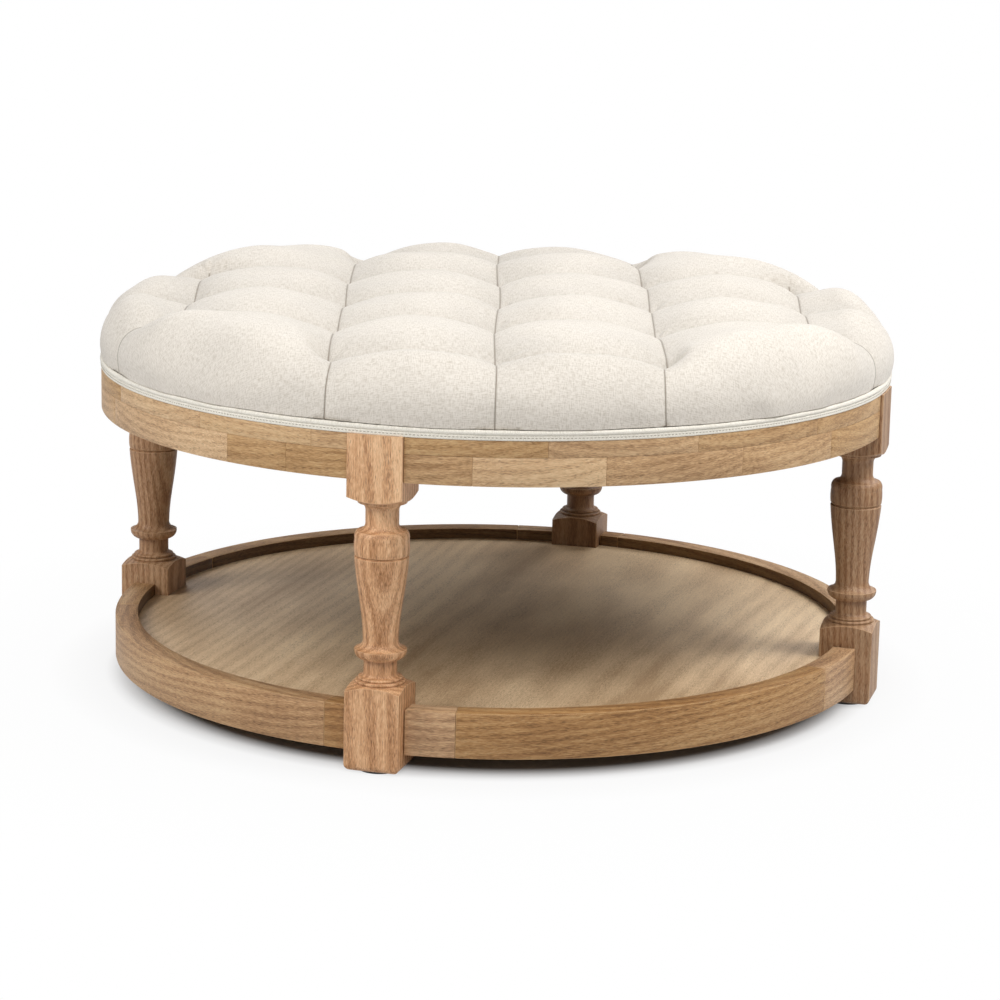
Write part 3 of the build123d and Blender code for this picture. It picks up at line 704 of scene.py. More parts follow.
@dataclass
class BrickRing:
    """A ring of oak bricks between the legs.

    The shares say where its bricks meet, as parts of a quarter turn, in two rows that take turns.
    """

    inner: float
    outer: float
    bottom: float
    top: float
    shares: tuple[tuple[float, ...], tuple[float, ...]]
    leg_gap: float
    easing: float
    bent: bool
    seed: int
    # How much painted shade darkens the ring's inner face.
    inner_painted_shade: float = 0.0
    askew: float = 0.03
    tone_spread: float = 0.12
    leg_half: float = 33.5
    step: float = 1.5
    # The painted shade on the inner face goes this deep, in millimetres.
    inner_depth: float = 0.2
    # Each brick is cut from another place in the log: up to this far off, in metres.
    log_reach: tuple[float, float, float] = (2, 0.03, 0.03)

    def brick(self, start: float, end: float, slots: list[float], dice: random.Random) -> Piece:
        """Bend one brick round the Z axis.

        Args:
            start: the angle of its first end, in radians.
            end: the angle of its other end.
            slots: the angles of the legs that cut it.
            dice: the source of its tone and of its place in the log.

        Returns:
            The brick, with its grain and tone kept in its mesh.
        """
        radius = (self.inner + self.outer) / 2 * MM
        height = (self.bottom + self.top) / 2 * MM
        clear_selection()
        bpy.ops.mesh.primitive_plane_add(size=1.0, location=(radius, 0, height),
                                         rotation=(QUARTER, 0, 0))
        piece = bpy.context.object
        piece.scale = ((self.outer - self.inner) * MM, (self.top - self.bottom) * MM, 1)
        settle(piece, "brick")
        turn = Matrix.Rotation(start, 3, "Z")
        place_points(piece, np.array([turn @ Vector(row) for row in points(piece)]))
        edit_all(piece)
        steps = max(3, round(math.degrees(end - start) / self.step))
        bpy.ops.mesh.spin(steps=steps, angle=start - end, center=(0, 0, 0), axis=(0, 0, 1))
        for slot in slots:
            # The leg's side face, set back by the joint's gap, trims the brick's end.
            side = 1 if math.sin((start + end) / 2 - slot) > 0 else -1
            across = Vector((-math.sin(slot), math.cos(slot), 0)) * side
            bpy.ops.mesh.select_all(action="SELECT")
            bpy.ops.mesh.bisect(plane_co=across * (self.leg_half + self.leg_gap) * MM,
                                plane_no=across, use_fill=True, clear_inner=True)
        end_edit()
        outward(piece)
        ease_edges(piece, self.easing)
        self.mark_grain(piece, (start + end) / 2, radius, height, dice)
        return piece

    def mark_grain(self, piece: Piece, middle: float, radius: float, height: float,
                   dice: random.Random) -> None:
        """Keep the place of every vertex in its own board, and the board's tone, with painted shade
        on its inner face.

        Args:
            piece: the brick.
            middle: the angle of its middle, in radians.
            radius: its middle's distance from the Z axis, in metres.
            height: its middle's height, in metres.
            dice: the source of its tone and of its place in the log.
        """
        rows = points(piece)
        turn, reach = polar(rows)
        turn = (turn - middle + math.pi) % FULL_TURN - math.pi
        if self.bent:
            along, through = turn * radius, reach - radius
        else:
            along, through = reach * np.sin(turn), reach * np.cos(turn) - radius
        shift = [dice.uniform(-far, far) for far in self.log_reach]
        rise, askew = rows[:, 2] - height, dice.uniform(-self.askew, self.askew)
        write_attribute(piece, "grain", np.column_stack(
            (along * math.cos(askew) + rise * math.sin(askew) + shift[0],
             rise * math.cos(askew) - along * math.sin(askew) + shift[1], through + shift[2])))
        tone = np.full(len(rows), dice.uniform(-self.tone_spread, self.tone_spread))
        # Painted shade darkens the inner face.
        tone[reach < (self.inner + self.inner_depth) * MM] += self.inner_painted_shade
        write_attribute(piece, "tone", tone)

    def quarter(self, index: int) -> list[Piece]:
        """Build the bricks of one quarter, from leg to leg.

        Args:
            index: the quarter's number.

        Returns:
            Its bricks.
        """
        dice = random.Random(self.seed + index)
        first = FIRST_LEG + index * QUARTER
        stops = [0.0, *self.shares[index % 2], 1.0]
        bricks = []
        for low, high in zip(stops[:-1], stops[1:]):
            slots = [first] * (low == 0.0) + [first + QUARTER] * (high == 1.0)
            bricks.append(self.brick(first + low * QUARTER, first + high * QUARTER, slots, dice))
        return bricks

    def build(self, pieces: str, finish: Finish, slot: str, nodes: str) -> None:
        """Build the ring, one piece for each quarter.

        Args:
            pieces: the start of the pieces' names, before the side's.
            finish: the bricks' finish.
            slot: the record's material slot.
            nodes: the start of the names of the nodes that they replace.
        """
        for index, side in enumerate(SIDES):
            piece = join(self.quarter(index), f"{pieces}_{side}")
            smooth(piece, 30)
            finish_piece(piece, finish, slot, f"{nodes}_{side}")


@dataclass
class Apron:
    """The two glued courses of the apron."""

    courses: dict[str, BrickRing] = field(default_factory=lambda: {
        course: BrickRing(inner=468, outer=508, bottom=bottom, top=top, shares=shares, leg_gap=0.6,
                          easing=0.7, bent=False, seed=seed, askew=0.12)
        for course, bottom, top, seed, shares in (
            ("lower", 352, 386, 11, ((0.142, 0.336, 0.56, 0.76), (0.22, 0.42, 0.75, 0.858))),
            ("upper", 386, 406, 31, ((0.25, 0.48, 0.72), (0.23, 0.45, 0.692, 0.9))))})

    def build(self) -> None:
        """Build each course quarter by quarter."""
        for course, ring in self.courses.items():
            ring.build(f"apron_{course}_bricks", LAMINATED_OAK, "apron_oak", f"apron_{course}")


@dataclass
class Shelf:
    """The rimmed shelf."""

    panel_radius: float = 462.8
    panel_heights: Pair = (45.0, 63.0)
    panel_easing: float = 0.4
    leg_square: float = 67.4
    leg_axis: float = 477.0
    # The rim's inner face takes painted shade.
    rim: BrickRing = field(default_factory=lambda: BrickRing(
        inner=463, outer=492, bottom=23, top=78, shares=((0.123, 0.813), (0.2, 0.915)),
        leg_gap=1.0, easing=1.3, bent=True, seed=57, inner_painted_shade=-0.6))

    def build(self, nodes: dict[str, Piece]) -> None:
        """Build the rim's segments and the panel, and finish its fixings.

        Args:
            nodes: the frame's nodes by name.
        """
        self.rim.build("shelf_rim_segments", BENT_OAK, "rim_oak", "shelf_rim")
        finish_piece(self.panel(), VENEERED_OAK, "panel_oak_veneer", "shelf_panel")
        BARE_BEECH.dress(nodes["shelf_cleats"])
        DOWEL_BEECH.dress(nodes["rim_dowels"])
        ZINC_STEEL.dress(nodes["shelf_panel_screws"], nodes["shelf_rim_screws"])

    def panel(self) -> Piece:
        """Cut the panel from a disc, notched to fit close round each leg.

        Returns:
            The panel.
        """
        low, high = (height * MM for height in self.panel_heights)
        clear_selection()
        bpy.ops.mesh.primitive_cylinder_add(vertices=288, radius=self.panel_radius * MM,
                                            depth=high - low, location=(0, 0, (low + high) / 2))
        piece = settle(bpy.context.object, "shelf_panel_board")
        for index in range(len(LEGS)):
            turn = FIRST_LEG + index * QUARTER
            reach = self.leg_axis * MM
            clear_selection()
            bpy.ops.mesh.primitive_cube_add(
                size=self.leg_square * MM, rotation=(0, 0, turn),
                location=(reach * math.cos(turn), reach * math.sin(turn), (low + high) / 2))
            cutter = settle(bpy.context.object, "cutter")
            apply_modifier(piece, "BOOLEAN", operation="DIFFERENCE", object=cutter, solver="EXACT")
            bpy.data.objects.remove(cutter)
        ease_edges(piece, self.panel_easing)
        smooth(piece, 30)
        return piece


@dataclass
class Legs:
    """The four turned legs, their glides and what ties them to the apron."""

    def build(self, nodes: dict[str, Piece]) -> None:
        """Finish the frame's own nodes.

        Args:
            nodes: the frame's nodes by name.
        """
        for name in LEGS:
            LIT_AND_SHADED_LEG_OAKS[name].dress(nodes[f"leg_{name}"])
            GLIDE_PLASTIC.dress(nodes[f"glide_{name}"])
            BARE_BEECH.dress(nodes[f"corner_block_{name}"])
        DOWEL_BEECH.dress(nodes["apron_dowels"])
        ZINC_STEEL.dress(*(nodes[name] for name in (
            "glide_nails", "corner_block_screws", "seat_screws", "hanger_bolts", "hanger_washers",
            "hanger_nuts", "seat_staples")))


@dataclass
class Cushion:
    """The tufted cushion: one closed form from its crest down to the hem under the deck.

    The cover is laid as a flat sheet, wrapped over the crown and rolled down the side, drawn in
    along the seams and at the tufts, then filled by a short cloth simulation.
    """

    roll_radius: float = 70.5
    roll_centre: Pair = (441.5, 439.0)
    lowest: float = 418.2
    pitch: float = 197.0
    turn: float = math.radians(-29.455)
    cells_per_pitch: int = 40
    seam_crowding: float = 0.55
    # A point this near to a seam is on it.
    on_seam: float = 0.1
    # A seam runs straight down the side up to the first share of the way out, and turns to point
    # away from the middle by the second.
    straight_share: Pair = (0.5, 0.7)
    seam_depth: float = 23.0
    side_depth: float = 4.5
    # How far down the side the seams turn shallow, from 0 on the top to 1 at the piping.
    shallow_from: Pair = (0.05, 0.75)
    # How much of a fold is the hollow between two round pads. The rest is softer.
    round_share: float = 0.25
    # The outermost seams fade out over this length past the outer tufts.
    seam_fade: float = 30.0
    # The seams count as drawn on the cloth, and as sewn down, where they are stronger than this.
    drawn_strength: float = 0.4
    sewn_strength: float = 0.3
    dimple_depth: float = 2.5
    dimple_radius: float = 13.0
    # The outer puffs are this slack, from before the outer tufts' line to past it, and less and
    # less over a length to either side.
    slack: float = 7.0
    slack_from: Pair = (-20.0, 45.0)
    slack_fade: float = 60.0
    pull_limit: float = 45.5
    crease_width: float = 13.0
    crease_places: Pair = (16.0, 34.0)
    crease_strengths: Pair = (0.6, 1.3)
    wave_count: int = 14
    wave_height: float = 0.45
    wave_lengths: Pair = (70.0, 190.0)
    hand_drift: tuple[float, float, float] = (1.4, 1.4, 0.6)
    drift_count: int = 3
    drift_lengths: Pair = (260.0, 520.0)
    # The hand's drift dies away down the side between these shares of it.
    drift_ends: Pair = (0.1, 0.9)
    held_edge: float = 0.93
    held_seam: float = 1.0
    held_tuft: float = 8.0
    largest_fill: float = 1.2
    frames: int = 20
    twine_end: float = 469.2
    twine_cover: float = 12.0
    seed: int = 7
    # The creases round each tuft, in three sets: how many there are, and how deep.
    creases: tuple[tuple[int, float], ...] = ((8, 0.9), (12, 0.6), (5, 0.7))
    # The radius and height of each fold from the tuck, round the deck and back over its edge.
    underside: tuple[Pair, ...] = (
        (504.0, 418.05), (501.8, 417.6), (501.8, 406.4), (501.2, 406.0), (448.2, 406.0),
        (447.8, 406.3), (447.8, 407.2), (448.2, 407.5), (500.3, 407.5), (500.3, 419.7),
        (400.0, 419.7))

    def tufts(self) -> list[Pair]:
        """Return the tufts' places: a grid of five by five without its corners."""
        steps = range(-2, 3)
        return [(a * self.pitch, b * self.pitch) for a in steps for b in steps
                if abs(a) + abs(b) < 4]

    def reach(self) -> float:
        """Measure along the cloth from the middle to the tuck.

        Returns:
            The sheet's radius.
        """
        drop = self.roll_centre[1] - self.lowest
        bend = QUARTER + math.asin(drop / self.roll_radius)
        return self.roll_centre[0] + self.roll_radius * bend

    def wrap(self, x: Rows, y: Rows) -> tuple[Rows, Rows, Rows]:
        """Lay flat points over the crown.

        Args:
            x: the points' first flat coordinate.
            y: their second flat coordinate.

        Returns:
            The points in space, the way out of the cushion at each, and how far down the side each
            lies, from 0 on the top to 1 at the piping.
        """
        out = np.hypot(x, y)
        safe = np.maximum(out, TINY)
        bend = np.maximum(out - self.roll_centre[0], 0) / self.roll_radius
        radius = np.minimum(out, self.roll_centre[0]) + self.roll_radius * np.sin(bend)
        height = self.roll_centre[1] + self.roll_radius * np.cos(bend)
        # The side's seams run straight down, so the lesser coordinate keeps its length there.
        lesser = np.minimum(abs(x), abs(y))
        kept = 1 - smoothstep(lesser / safe, *self.straight_share)
        lesser = lesser * (kept + (1 - kept) * radius / safe)
        greater = np.sqrt(np.maximum(radius ** 2 - lesser ** 2, 0))
        swapped = abs(x) > abs(y)
        plan_x = np.sign(x) * np.where(swapped, greater, lesser)
        plan_y = np.sign(y) * np.where(swapped, lesser, greater)
        rows = np.column_stack((plan_x, plan_y, height))
        reach = np.maximum(np.hypot(plan_x, plan_y), TINY)
        away = np.column_stack((plan_x / reach * np.sin(bend), plan_y / reach * np.sin(bend),
                                np.cos(bend)))
        span = (self.reach() - self.roll_centre[0]) / self.roll_radius
        return rows, away, np.clip(bend / span, 0, 1)

    def seam_lines(self, x: Rows, y: Rows) -> list[tuple[Rows, Rows]]:
        """Follow the seams, five each way.

        Args:
            x: the points' first flat coordinate.
            y: their second flat coordinate.

        Returns:
            For every seam, the distance to it and how strong it is there, at each point.
        """
        lines = []
        for across, along in ((x, y), (y, x)):
            for step in (-2, -1, 0, 1, 2):
                strength = np.ones_like(x)
                if abs(step) == 2:
                    strength = 1 - smoothstep(np.abs(along), self.pitch,
                                              self.pitch + self.seam_fade)
                lines.append((np.abs(across - step * self.pitch), strength))
        return lines

    def draw_in(self, x: Rows, y: Rows, side: Rows) -> Rows:
        """Draw the cloth in along the seams and at the tufts.

        Args:
            x: the points' first flat coordinate.
            y: their second flat coordinate.
            side: how far down the side each lies, from 0 to 1.

        Returns:
            How far the cloth lies in from the wrapped form at each point.
        """
        depth = self.seam_depth + (self.side_depth - self.seam_depth) * smoothstep(
            side, *self.shallow_from)
        fold = np.zeros_like(x)
        for gap, strength in self.seam_lines(x, y):
            near = np.maximum(1 - 2 * gap / self.pitch, 0)
            # A crease between two round pads, softened a little further out.
            fold += strength * (self.round_share * (1 - np.sqrt(1 - near ** 2))
                                + (1 - self.round_share) * near ** 2)
        inward = depth * fold
        for a, b in self.tufts():
            gap = np.hypot(x - a, y - b)
            inward += self.dimple_depth * np.exp(-(gap / self.dimple_radius) ** 2)
        # The narrow puffs between the outer tufts and the edge are filled less.
        start, end = (2 * self.pitch + far for far in self.slack_from)
        for across, along in ((x, y), (y, x)):
            past = smoothstep(np.abs(across), start, end)
            within = 1 - smoothstep(np.abs(along), self.pitch, self.pitch + self.slack_fade)
            inward += self.slack * past * within * (1 - side)
        # The twine is only so long, so the deepest places are held back.
        return inward / (1 + (inward / self.pull_limit) ** 4) ** 0.25

    def gathers(self, x: Rows, y: Rows, side: Rows) -> Rows:
        """Crease the cloth round the tufts, and let the filling wave a little.

        Args:
            x: the points' first flat coordinate.
            y: their second flat coordinate.
            side: how far down the side each lies, from 0 to 1.

        Returns:
            How much further in the cloth lies at each point.
        """
        dice = np.random.default_rng(self.seed)
        inward = np.zeros_like(x)
        for a, b in self.tufts():
            turn, gap = polar(np.column_stack((x - a, y - b)))
            for count, swell in self.creases:
                far = dice.uniform(*self.crease_places)
                ring = np.exp(-((gap - far) / self.crease_width) ** 2)
                inward += swell * dice.uniform(*self.crease_strengths) * ring * np.cos(
                    count * turn + dice.uniform(0, FULL_TURN))
        for _ in range(self.wave_count):
            inward += self.wave_height * random_wave(dice, x, y, self.wave_lengths)
        return inward * (1 - 0.5 * side)

    def drift(self, x: Rows, y: Rows, side: Rows) -> Rows:
        """Pull the cloth off the true grid a little, as hand work does.

        Args:
            x: the points' first flat coordinate.
            y: their second flat coordinate.
            side: how far down the side each lies, from 0 to 1.

        Returns:
            How far each point moves, in x, y and z.
        """
        dice = np.random.default_rng(self.seed + 1)
        moves = np.zeros((len(x), 3))
        for axis, swell in enumerate(self.hand_drift):
            for _ in range(self.drift_count):
                moves[:, axis] += swell * random_wave(dice, x, y, self.drift_lengths)
        return moves * (1 - smoothstep(side, *self.drift_ends))[:, None]

    def sheet(self) -> Piece:
        """Cut the flat sheet: a fine square net, finest at the seams, trimmed to a disc.

        Returns:
            The sheet, in metres.
        """
        spacing = self.pitch / self.cells_per_pitch
        cells = 2 * math.ceil(self.reach() / spacing)
        clear_selection()
        bpy.ops.mesh.primitive_grid_add(x_subdivisions=cells, y_subdivisions=cells,
                                        size=cells * spacing)
        piece = bpy.context.object
        rows = points(piece)
        rows -= self.seam_crowding * self.pitch / FULL_TURN * np.sin(FULL_TURN * rows / self.pitch)
        place_points(piece, rows)
        net = open_net(piece)
        # What lies nearer to the edge than about half a cell goes, and the rest is joined to it.
        limit = self.reach() - 0.45 * spacing
        for outside in (lambda v: v.co.length > limit, lambda v: not v.link_faces):
            bmesh.ops.delete(net, geom=[v for v in net.verts if outside(v)], context="VERTS")
        close_net(net, piece)
        place_points(piece, points(piece) * MM)
        self.round_off(piece)
        return piece

    def build(self) -> None:
        """Sew, fill and finish the cushion."""
        piece = self.sheet()
        flat = points(piece) / MM
        x, y = flat[:, 0], flat[:, 1]
        rows, away, side = self.wrap(x, y)
        drawn = self.draw_in(x, y, side)
        place_points(piece, (rows - away * drawn[:, None]) * MM)
        self.fill(piece, x, y, side)
        rows = points(piece) / MM - away * self.gathers(x, y, side)[:, None]
        rows += self.drift(x, y, side)
        rows[:, 2] = np.maximum(rows[:, 2], self.lowest)
        for a, b in self.tufts():
            over = np.hypot(x - a, y - b) < self.twine_cover
            rows[over, 2] = np.maximum(rows[over, 2], self.twine_end)
        place_points(piece, rows * MM)
        gap = np.min([np.where(strength > self.drawn_strength, distance, NO_SEAM)
                      for distance, strength in self.seam_lines(x, y)], axis=0)
        write_attribute(piece, "seam", gap)
        # How far the cloth is drawn in, which the linen turns into painted shade in its hollows.
        write_attribute(piece, "hollow", drawn / self.pull_limit)
        write_uv(piece, "cloth", flat[:, :2] * MM)
        apply_modifier(piece, "SUBSURF", levels=1, render_levels=1)
        self.close(piece)
        outward(piece)
        rows = points(piece)
        cos, sin = math.cos(self.turn), math.sin(self.turn)
        rows[:, :2] = rows[:, :2] @ np.array([[cos, sin], [-sin, cos]])
        place_points(piece, rows)
        settle(piece, "tufted_cushion")
        smooth(piece, 60)
        finish_piece(piece, COVER_LINEN, "cover_linen", "seat_cover", "seat_wadding", "seat_foam")

    def round_off(self, piece: Piece) -> None:
        """Join the stepped edge of the net to a true circle.

        Args:
            piece: the sheet.
        """
        edit_all(piece)
        bpy.ops.mesh.region_to_loop()
        end_edit()
        reach, pitch = self.reach() * MM, self.pitch * MM
        for vertex in (v for v in piece.data.vertices if v.select):
            place = vertex.co.normalized() * reach
            for across, along in ((0, 1), (1, 0)):
                # A point on a seam slides along it, so the seam runs straight to the edge.
                seam = round(vertex.co[across] / pitch) * pitch
                if abs(vertex.co[across] - seam) < self.on_seam * MM:
                    place[across] = vertex.co[across]
                    place[along] = math.copysign(math.sqrt(reach ** 2 - place[across] ** 2),
                                                 vertex.co[along])
            vertex.co = place
        piece.data.update()

    def close(self, piece: Piece) -> None:
        """Carry the cloth's edge under the cushion, round the deck and back, and close the form.

        Args:
            piece: the cushion, open below.
        """
        edit_all(piece)
        bpy.ops.mesh.region_to_loop()
        for radius, height in self.underside:
            bpy.ops.mesh.extrude_edges_move()
            end_edit()
            to_ring((v for v in piece.data.vertices if v.select), radius, height)
            bpy.ops.object.mode_set(mode="EDIT")
        bpy.ops.mesh.edge_face_add()
        end_edit()

    def fill(self, piece: Piece, x: Rows, y: Rows, side: Rows) -> None:
        """Fill the sewn cover with a short cloth simulation, held at its seams, tufts and edge.

        Args:
            piece: the cover, wrapped and drawn in.
            x: the points' first flat coordinate.
            y: their second flat coordinate.
            side: how far down the side each lies, from 0 to 1.
        """
        start = points(piece)
        hold = side > self.held_edge
        for distance, strength in self.seam_lines(x, y):
            hold |= (distance < self.held_seam) & (strength > self.sewn_strength)
        for a, b in self.tufts():
            hold |= np.hypot(x - a, y - b) < self.held_tuft
        group = piece.vertex_groups.new(name="sewn")
        group.add([int(i) for i in np.flatnonzero(hold)], 1.0, "REPLACE")
        activate(piece)
        modifier = piece.modifiers.new("Filling", "CLOTH")
        for key, value in {"quality": 4, "mass": 0.3, "tension_stiffness": 8,
                           "compression_stiffness": 8, "shear_stiffness": 3,
                           "bending_stiffness": 0.3, "vertex_group_mass": "sewn",
                           "use_pressure": True, "uniform_pressure_force": 4,
                           "shrink_min": -0.02}.items():
            setattr(modifier.settings, key, value)
        modifier.settings.effector_weights.gravity = 0
        modifier.collision_settings.use_collision = False
        modifier.point_cache.frame_start = 1
        modifier.point_cache.frame_end = self.frames
        for frame in range(1, self.frames + 1):
            bpy.context.scene.frame_set(frame)
        graph = bpy.context.evaluated_depsgraph_get()
        filled = np.empty(len(start) * 3)
        piece.evaluated_get(graph).data.vertices.foreach_get("co", filled)
        piece.modifiers.remove(modifier)
        bpy.context.scene.frame_set(1)
        move = filled.reshape(-1, 3) - start
        length = np.linalg.norm(move, axis=1, keepdims=True)
        limit = self.largest_fill * MM
        place_points(piece, start + move * np.minimum(1, limit / np.maximum(length, TINY)))
        LOG.info("filling moved the cover by up to %.1f mm", float(length.max()) / MM)


@dataclass
class Piping:
    """The corded piping over its stitched flange."""

    roll_centre: Pair = (506.25, 414.45)
    roll_radius: float = 3.25
    roll_sides: int = 12
    steps: int = 1400
    # The roll's two sets of puckers: how deep, as a share of its radius, and how many round it.
    # The first set is spaced unevenly, by a slow sway.
    puckers: tuple[tuple[float, int], ...] = ((0.035, 243), (0.03, 91))
    pucker_sway: tuple[float, int] = (2, 17)
    stitch_pitch: float = 4.5
    stitch_place: Pair = (508.45, 409.2)
    stitch_radius: float = 0.5
    stitch_stretch: tuple[float, float, float] = (0.9, 3.0, 1.0)
    flange: tuple[Pair, ...] = (
        (502.1, 406.0), (508.5, 406.0), (508.8, 406.5), (508.7, 408.2), (508.3, 409.2),
        (508.7, 410.2), (508.5, 411.3), (507.2, 412.0), (505.0, 412.4), (502.1, 412.4))

    def build(self) -> None:
        """Build the roll, the flange and the row of stitches."""
        finish_piece(self.roll(), PIPING_LINEN, "piping_linen", "piping_cover")
        finish_piece(self.band(), PIPING_LINEN, "piping_linen")
        finish_piece(self.stitches(), THREAD, "piping_linen")

    def ring(self, name: str, profile: Sequence[Pair]) -> Piece:
        """Carry a closed outline round the Z axis.

        Args:
            name: the new object's name.
            profile: the outline's points, as radius and height.

        Returns:
            The ring, closed, with its faces outwards.
        """
        clear_selection()
        bpy.ops.mesh.primitive_circle_add(vertices=self.steps, radius=profile[0][0] * MM,
                                          location=(0, 0, profile[0][1] * MM))
        piece = settle(bpy.context.object, name)
        net = open_net(piece)
        first = list(net.edges)
        loop = first
        for radius, height in profile[1:]:
            made = bmesh.ops.extrude_edge_only(net, edges=loop)["geom"]
            loop = [g for g in made if isinstance(g, bmesh.types.BMEdge)]
            to_ring((g for g in made if isinstance(g, bmesh.types.BMVert)), radius, height)
        bmesh.ops.bridge_loops(net, edges=first + loop)
        close_net(net, piece)
        outward(piece)
        return piece

    def mark_cloth(self, piece: Piece) -> None:
        """Lay the cloth's coordinates on the bias, and mark that no seam runs here.

        Args:
            piece: the roll or the flange.
        """
        rows = points(piece)
        turn, reach = polar(rows)
        along, around = turn * self.roll_centre[0] * MM, rows[:, 2] + reach
        write_uv(piece, "cloth", np.column_stack((along + around, along - around)))
        write_attribute(piece, "seam", np.full(len(rows), NO_SEAM))

    def roll(self) -> Piece:
        """Build the roll, slightly puckered by its sewing.

        Returns:
            The roll.
        """
        middle, height = self.roll_centre
        turns = [FULL_TURN * side / self.roll_sides for side in range(self.roll_sides)]
        piece = self.ring("piping_roll", [(middle + self.roll_radius * math.cos(turn),
                                           height + self.roll_radius * math.sin(turn))
                                          for turn in turns])
        rows = points(piece)
        turn, reach = polar(rows)
        (fine, fine_count), (broad, broad_count) = self.puckers
        sway, sway_count = self.pucker_sway
        ripple = (1 + fine * np.sin(turn * fine_count + sway * np.sin(turn * sway_count))
                  + broad * np.sin(turn * broad_count))
        out = (reach - middle * MM) * ripple + middle * MM
        rows[:, 0] *= out / reach
        rows[:, 1] *= out / reach
        rows[:, 2] = (rows[:, 2] - height * MM) * ripple + height * MM
        place_points(piece, rows)
        self.mark_cloth(piece)
        smooth(piece, 80)
        return piece

    def band(self) -> Piece:
        """Build the flange under the roll, with a groove along the stitches.

        Returns:
            The flange.
        """
        piece = self.ring("piping_flange", self.flange)
        self.mark_cloth(piece)
        smooth(piece, 70)
        return piece

    def stitches(self) -> Piece:
        """Build one stitch and repeat it round the flange.

        Returns:
            The stitches.
        """
        clear_selection()
        bpy.ops.mesh.primitive_uv_sphere_add(segments=6, ring_count=5,
                                             radius=self.stitch_radius * MM)
        piece = bpy.context.object
        piece.scale = self.stitch_stretch
        settle(piece, "piping_stitches")
        count = round(FULL_TURN * self.roll_centre[0] / self.stitch_pitch)
        net = open_net(piece)
        single = list(net.verts) + list(net.edges) + list(net.faces)
        out = Matrix.Translation((self.stitch_place[0] * MM, 0, self.stitch_place[1] * MM))
        for index in range(count):
            made = bmesh.ops.duplicate(net, geom=single)["geom"]
            bmesh.ops.transform(
                net, matrix=Matrix.Rotation(FULL_TURN * index / count, 4, "Z") @ out,
                verts=[g for g in made if isinstance(g, bmesh.types.BMVert)])
        bmesh.ops.delete(net, geom=single[:len(piece.data.vertices)], context="VERTS")
        close_net(net, piece)
        smooth(piece, 60)
        return piece


@dataclass
class SeatParts:
    """The seat's hidden and half-hidden parts, which come from the frame."""

    finishes: dict[str, Finish] = field(default_factory=lambda: {
        "seat_deck": PLYWOOD, "dust_cover": DUST_CLOTH, "tuft_twine": WAXED_TWINE,
        "tuft_washers": NYLON_WASHER, "piping_cord": COTTON_CORD})

    def build(self, nodes: dict[str, Piece]) -> None:
        """Finish the frame's own nodes.

        Args:
            nodes: the frame's nodes by name.
        """
        for name, finish in self.finishes.items():
            finish.dress(nodes[name])


@dataclass(frozen=True)
class Lamp:
    """A square lamp: its place and the height it aims at in metres, and its power in watts."""

    name: str
    place: tuple[float, float, float]
    power: float
    aim: float = 0.2
    size: float = 1.5

    def hang(self) -> None:
        """Put the lamp in the scene, aimed at the table."""
        data = bpy.data.lights.new(self.name, "AREA")
        data.energy = self.power
        data.size = self.size
        lamp = bpy.data.objects.new(self.name, data)
        bpy.context.scene.collection.objects.link(lamp)
        lamp.location = self.place
        way = Vector((0, 0, self.aim)) - Vector(self.place)
        lamp.rotation_euler = way.to_track_quat("-Z", "Y").to_euler()


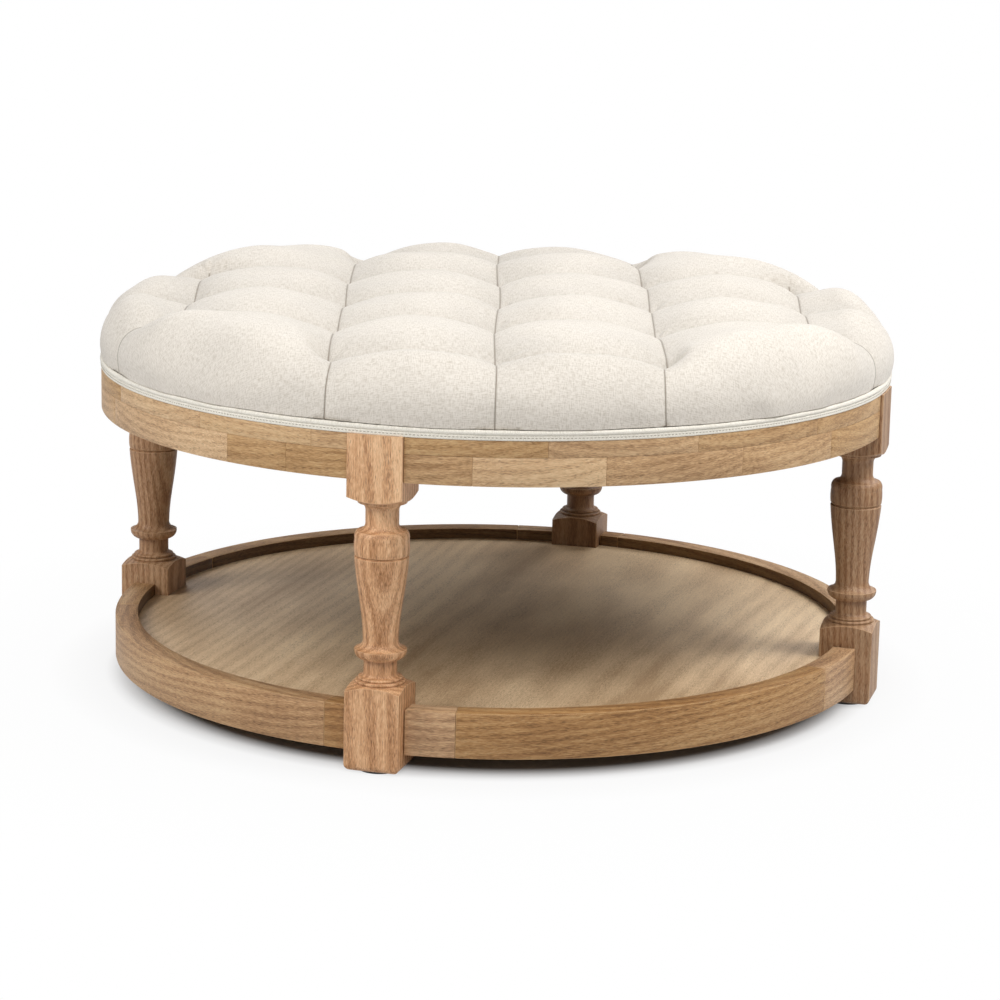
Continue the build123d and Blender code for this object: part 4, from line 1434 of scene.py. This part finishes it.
@dataclass
class Studio:
    """The pale floor, the lamps and the camera, in metres."""

    camera_place: tuple[float, float, float] = (-1.910309, -3.382656, 1.088396)
    camera_aim: tuple[float, float, float] = (0.481945, 0.848872, -0.217130)
    camera_roll: float = math.radians(1.2557)
    lens_mm: float = 109.339
    room_light: float = 0.14
    # How white the floor shows, by its distance from the table's middle.
    whites: tuple[Pair, ...] = ((0.452, 0.0), (0.505, 0.86), (0.58, 0.97), (0.90, 1.0))
    lamps: tuple[Lamp, ...] = (
        Lamp("left", (-2.7, 0.2, 2.0), 44), Lamp("front", (-1.3, -2.4, 2.7), 54),
        Lamp("right", (1.7, -1.5, 2.6), 70), Lamp("side", (2.5, 1.0, 1.8), 26),
        Lamp("back", (0.2, 2.6, 2.0), 16, aim=0.3))

    def camera(self) -> None:
        """Set up the camera where the photograph was taken from."""
        data = bpy.data.cameras.new("camera")
        data.sensor_width = 36
        data.lens = self.lens_mm
        data.clip_end = 100
        view = bpy.data.objects.new("camera", data)
        bpy.context.scene.collection.objects.link(view)
        turn = Vector(self.camera_aim).to_track_quat("-Z", "Y").to_matrix().to_4x4()
        view.matrix_world = (Matrix.Translation(self.camera_place) @ turn
                             @ Matrix.Rotation(self.camera_roll, 4, "Z"))
        bpy.context.scene.camera = view

    def floor(self) -> None:
        """Lay the floor: white to the camera, but for the shadow close round the table."""
        clear_selection()
        bpy.ops.mesh.primitive_circle_add(vertices=96, radius=40, fill_type="NGON")
        floor = settle(bpy.context.object, "floor")
        ground = bpy.data.materials.new("white studio floor")
        ground.use_nodes = True
        tree = ground.node_tree
        shader = wire(tree.nodes["Principled BSDF"], {
            "Base Color": linear("C8C8C8"), "Roughness": 0.9, "Specular IOR Level": 0.1})
        rays = add_node(tree, "LightPath").outputs
        seen = add_node(tree, "Math", {"operation": "ADD"}, {
            0: rays["Is Camera Ray"], 1: rays["Is Glossy Ray"]})
        any_seen = add_node(tree, "Math", {"operation": "ADD", "use_clamp": True}, {
            0: seen, 1: rays["Is Transmission Ray"]})
        place = add_node(tree, "TexCoord").outputs["Object"]
        far = add_node(tree, "VectorMath", {"operation": "LENGTH"}, {0: place}).outputs["Value"]
        lift = add_node(tree, "ValToRGB", {"stops": [
            (distance, (level, level, level, 1)) for distance, level in self.whites]}, {0: far})
        share = add_node(tree, "Math", {"operation": "MULTIPLY"}, {0: lift, 1: any_seen})
        white = add_node(tree, "Emission", {"Strength": 1.0})
        mix = add_node(tree, "MixShader", links={0: share, 1: shader, 2: white})
        # From below, the floor is clear, so that the table's underside can be looked at.
        under = add_node(tree, "NewGeometry").outputs["Backfacing"]
        clear = add_node(tree, "BsdfTransparent")
        both = add_node(tree, "MixShader", links={0: under, 1: mix, 2: clear})
        wire(tree.nodes["Material Output"], links={"Surface": both})
        floor.data.materials.append(ground)

    def world(self) -> None:
        """Light the room evenly, and show the camera plain white."""
        world = bpy.data.worlds.new("studio")
        bpy.context.scene.world = world
        world.use_nodes = True
        tree = world.node_tree
        sky = wire(tree.nodes["Background"], {0: (1, 1, 1, 1), 1: self.room_light})
        seen = add_node(tree, "LightPath").outputs["Is Camera Ray"]
        white = add_node(tree, "Background", {"Strength": 1.0})
        mix = add_node(tree, "MixShader", links={0: seen, 1: sky, 2: white})
        wire(tree.nodes["World Output"], links={"Surface": mix})

    def build(self) -> None:
        """Set up the room."""
        bpy.context.scene.view_settings.view_transform = "Standard"
        self.camera()
        self.floor()
        for lamp in self.lamps:
            lamp.hang()
        self.world()


def main() -> None:
    """Build the table round its frame."""
    logging.basicConfig(level=logging.INFO, format="%(name)s: %(message)s")
    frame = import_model()
    nodes = frame["nodes"]
    Studio().build()
    Apron().build()
    Shelf().build(nodes)
    Legs().build(nodes)
    SeatParts().build(nodes)
    Piping().build()
    Cushion().build()


if __name__ == "__main__":
    main()
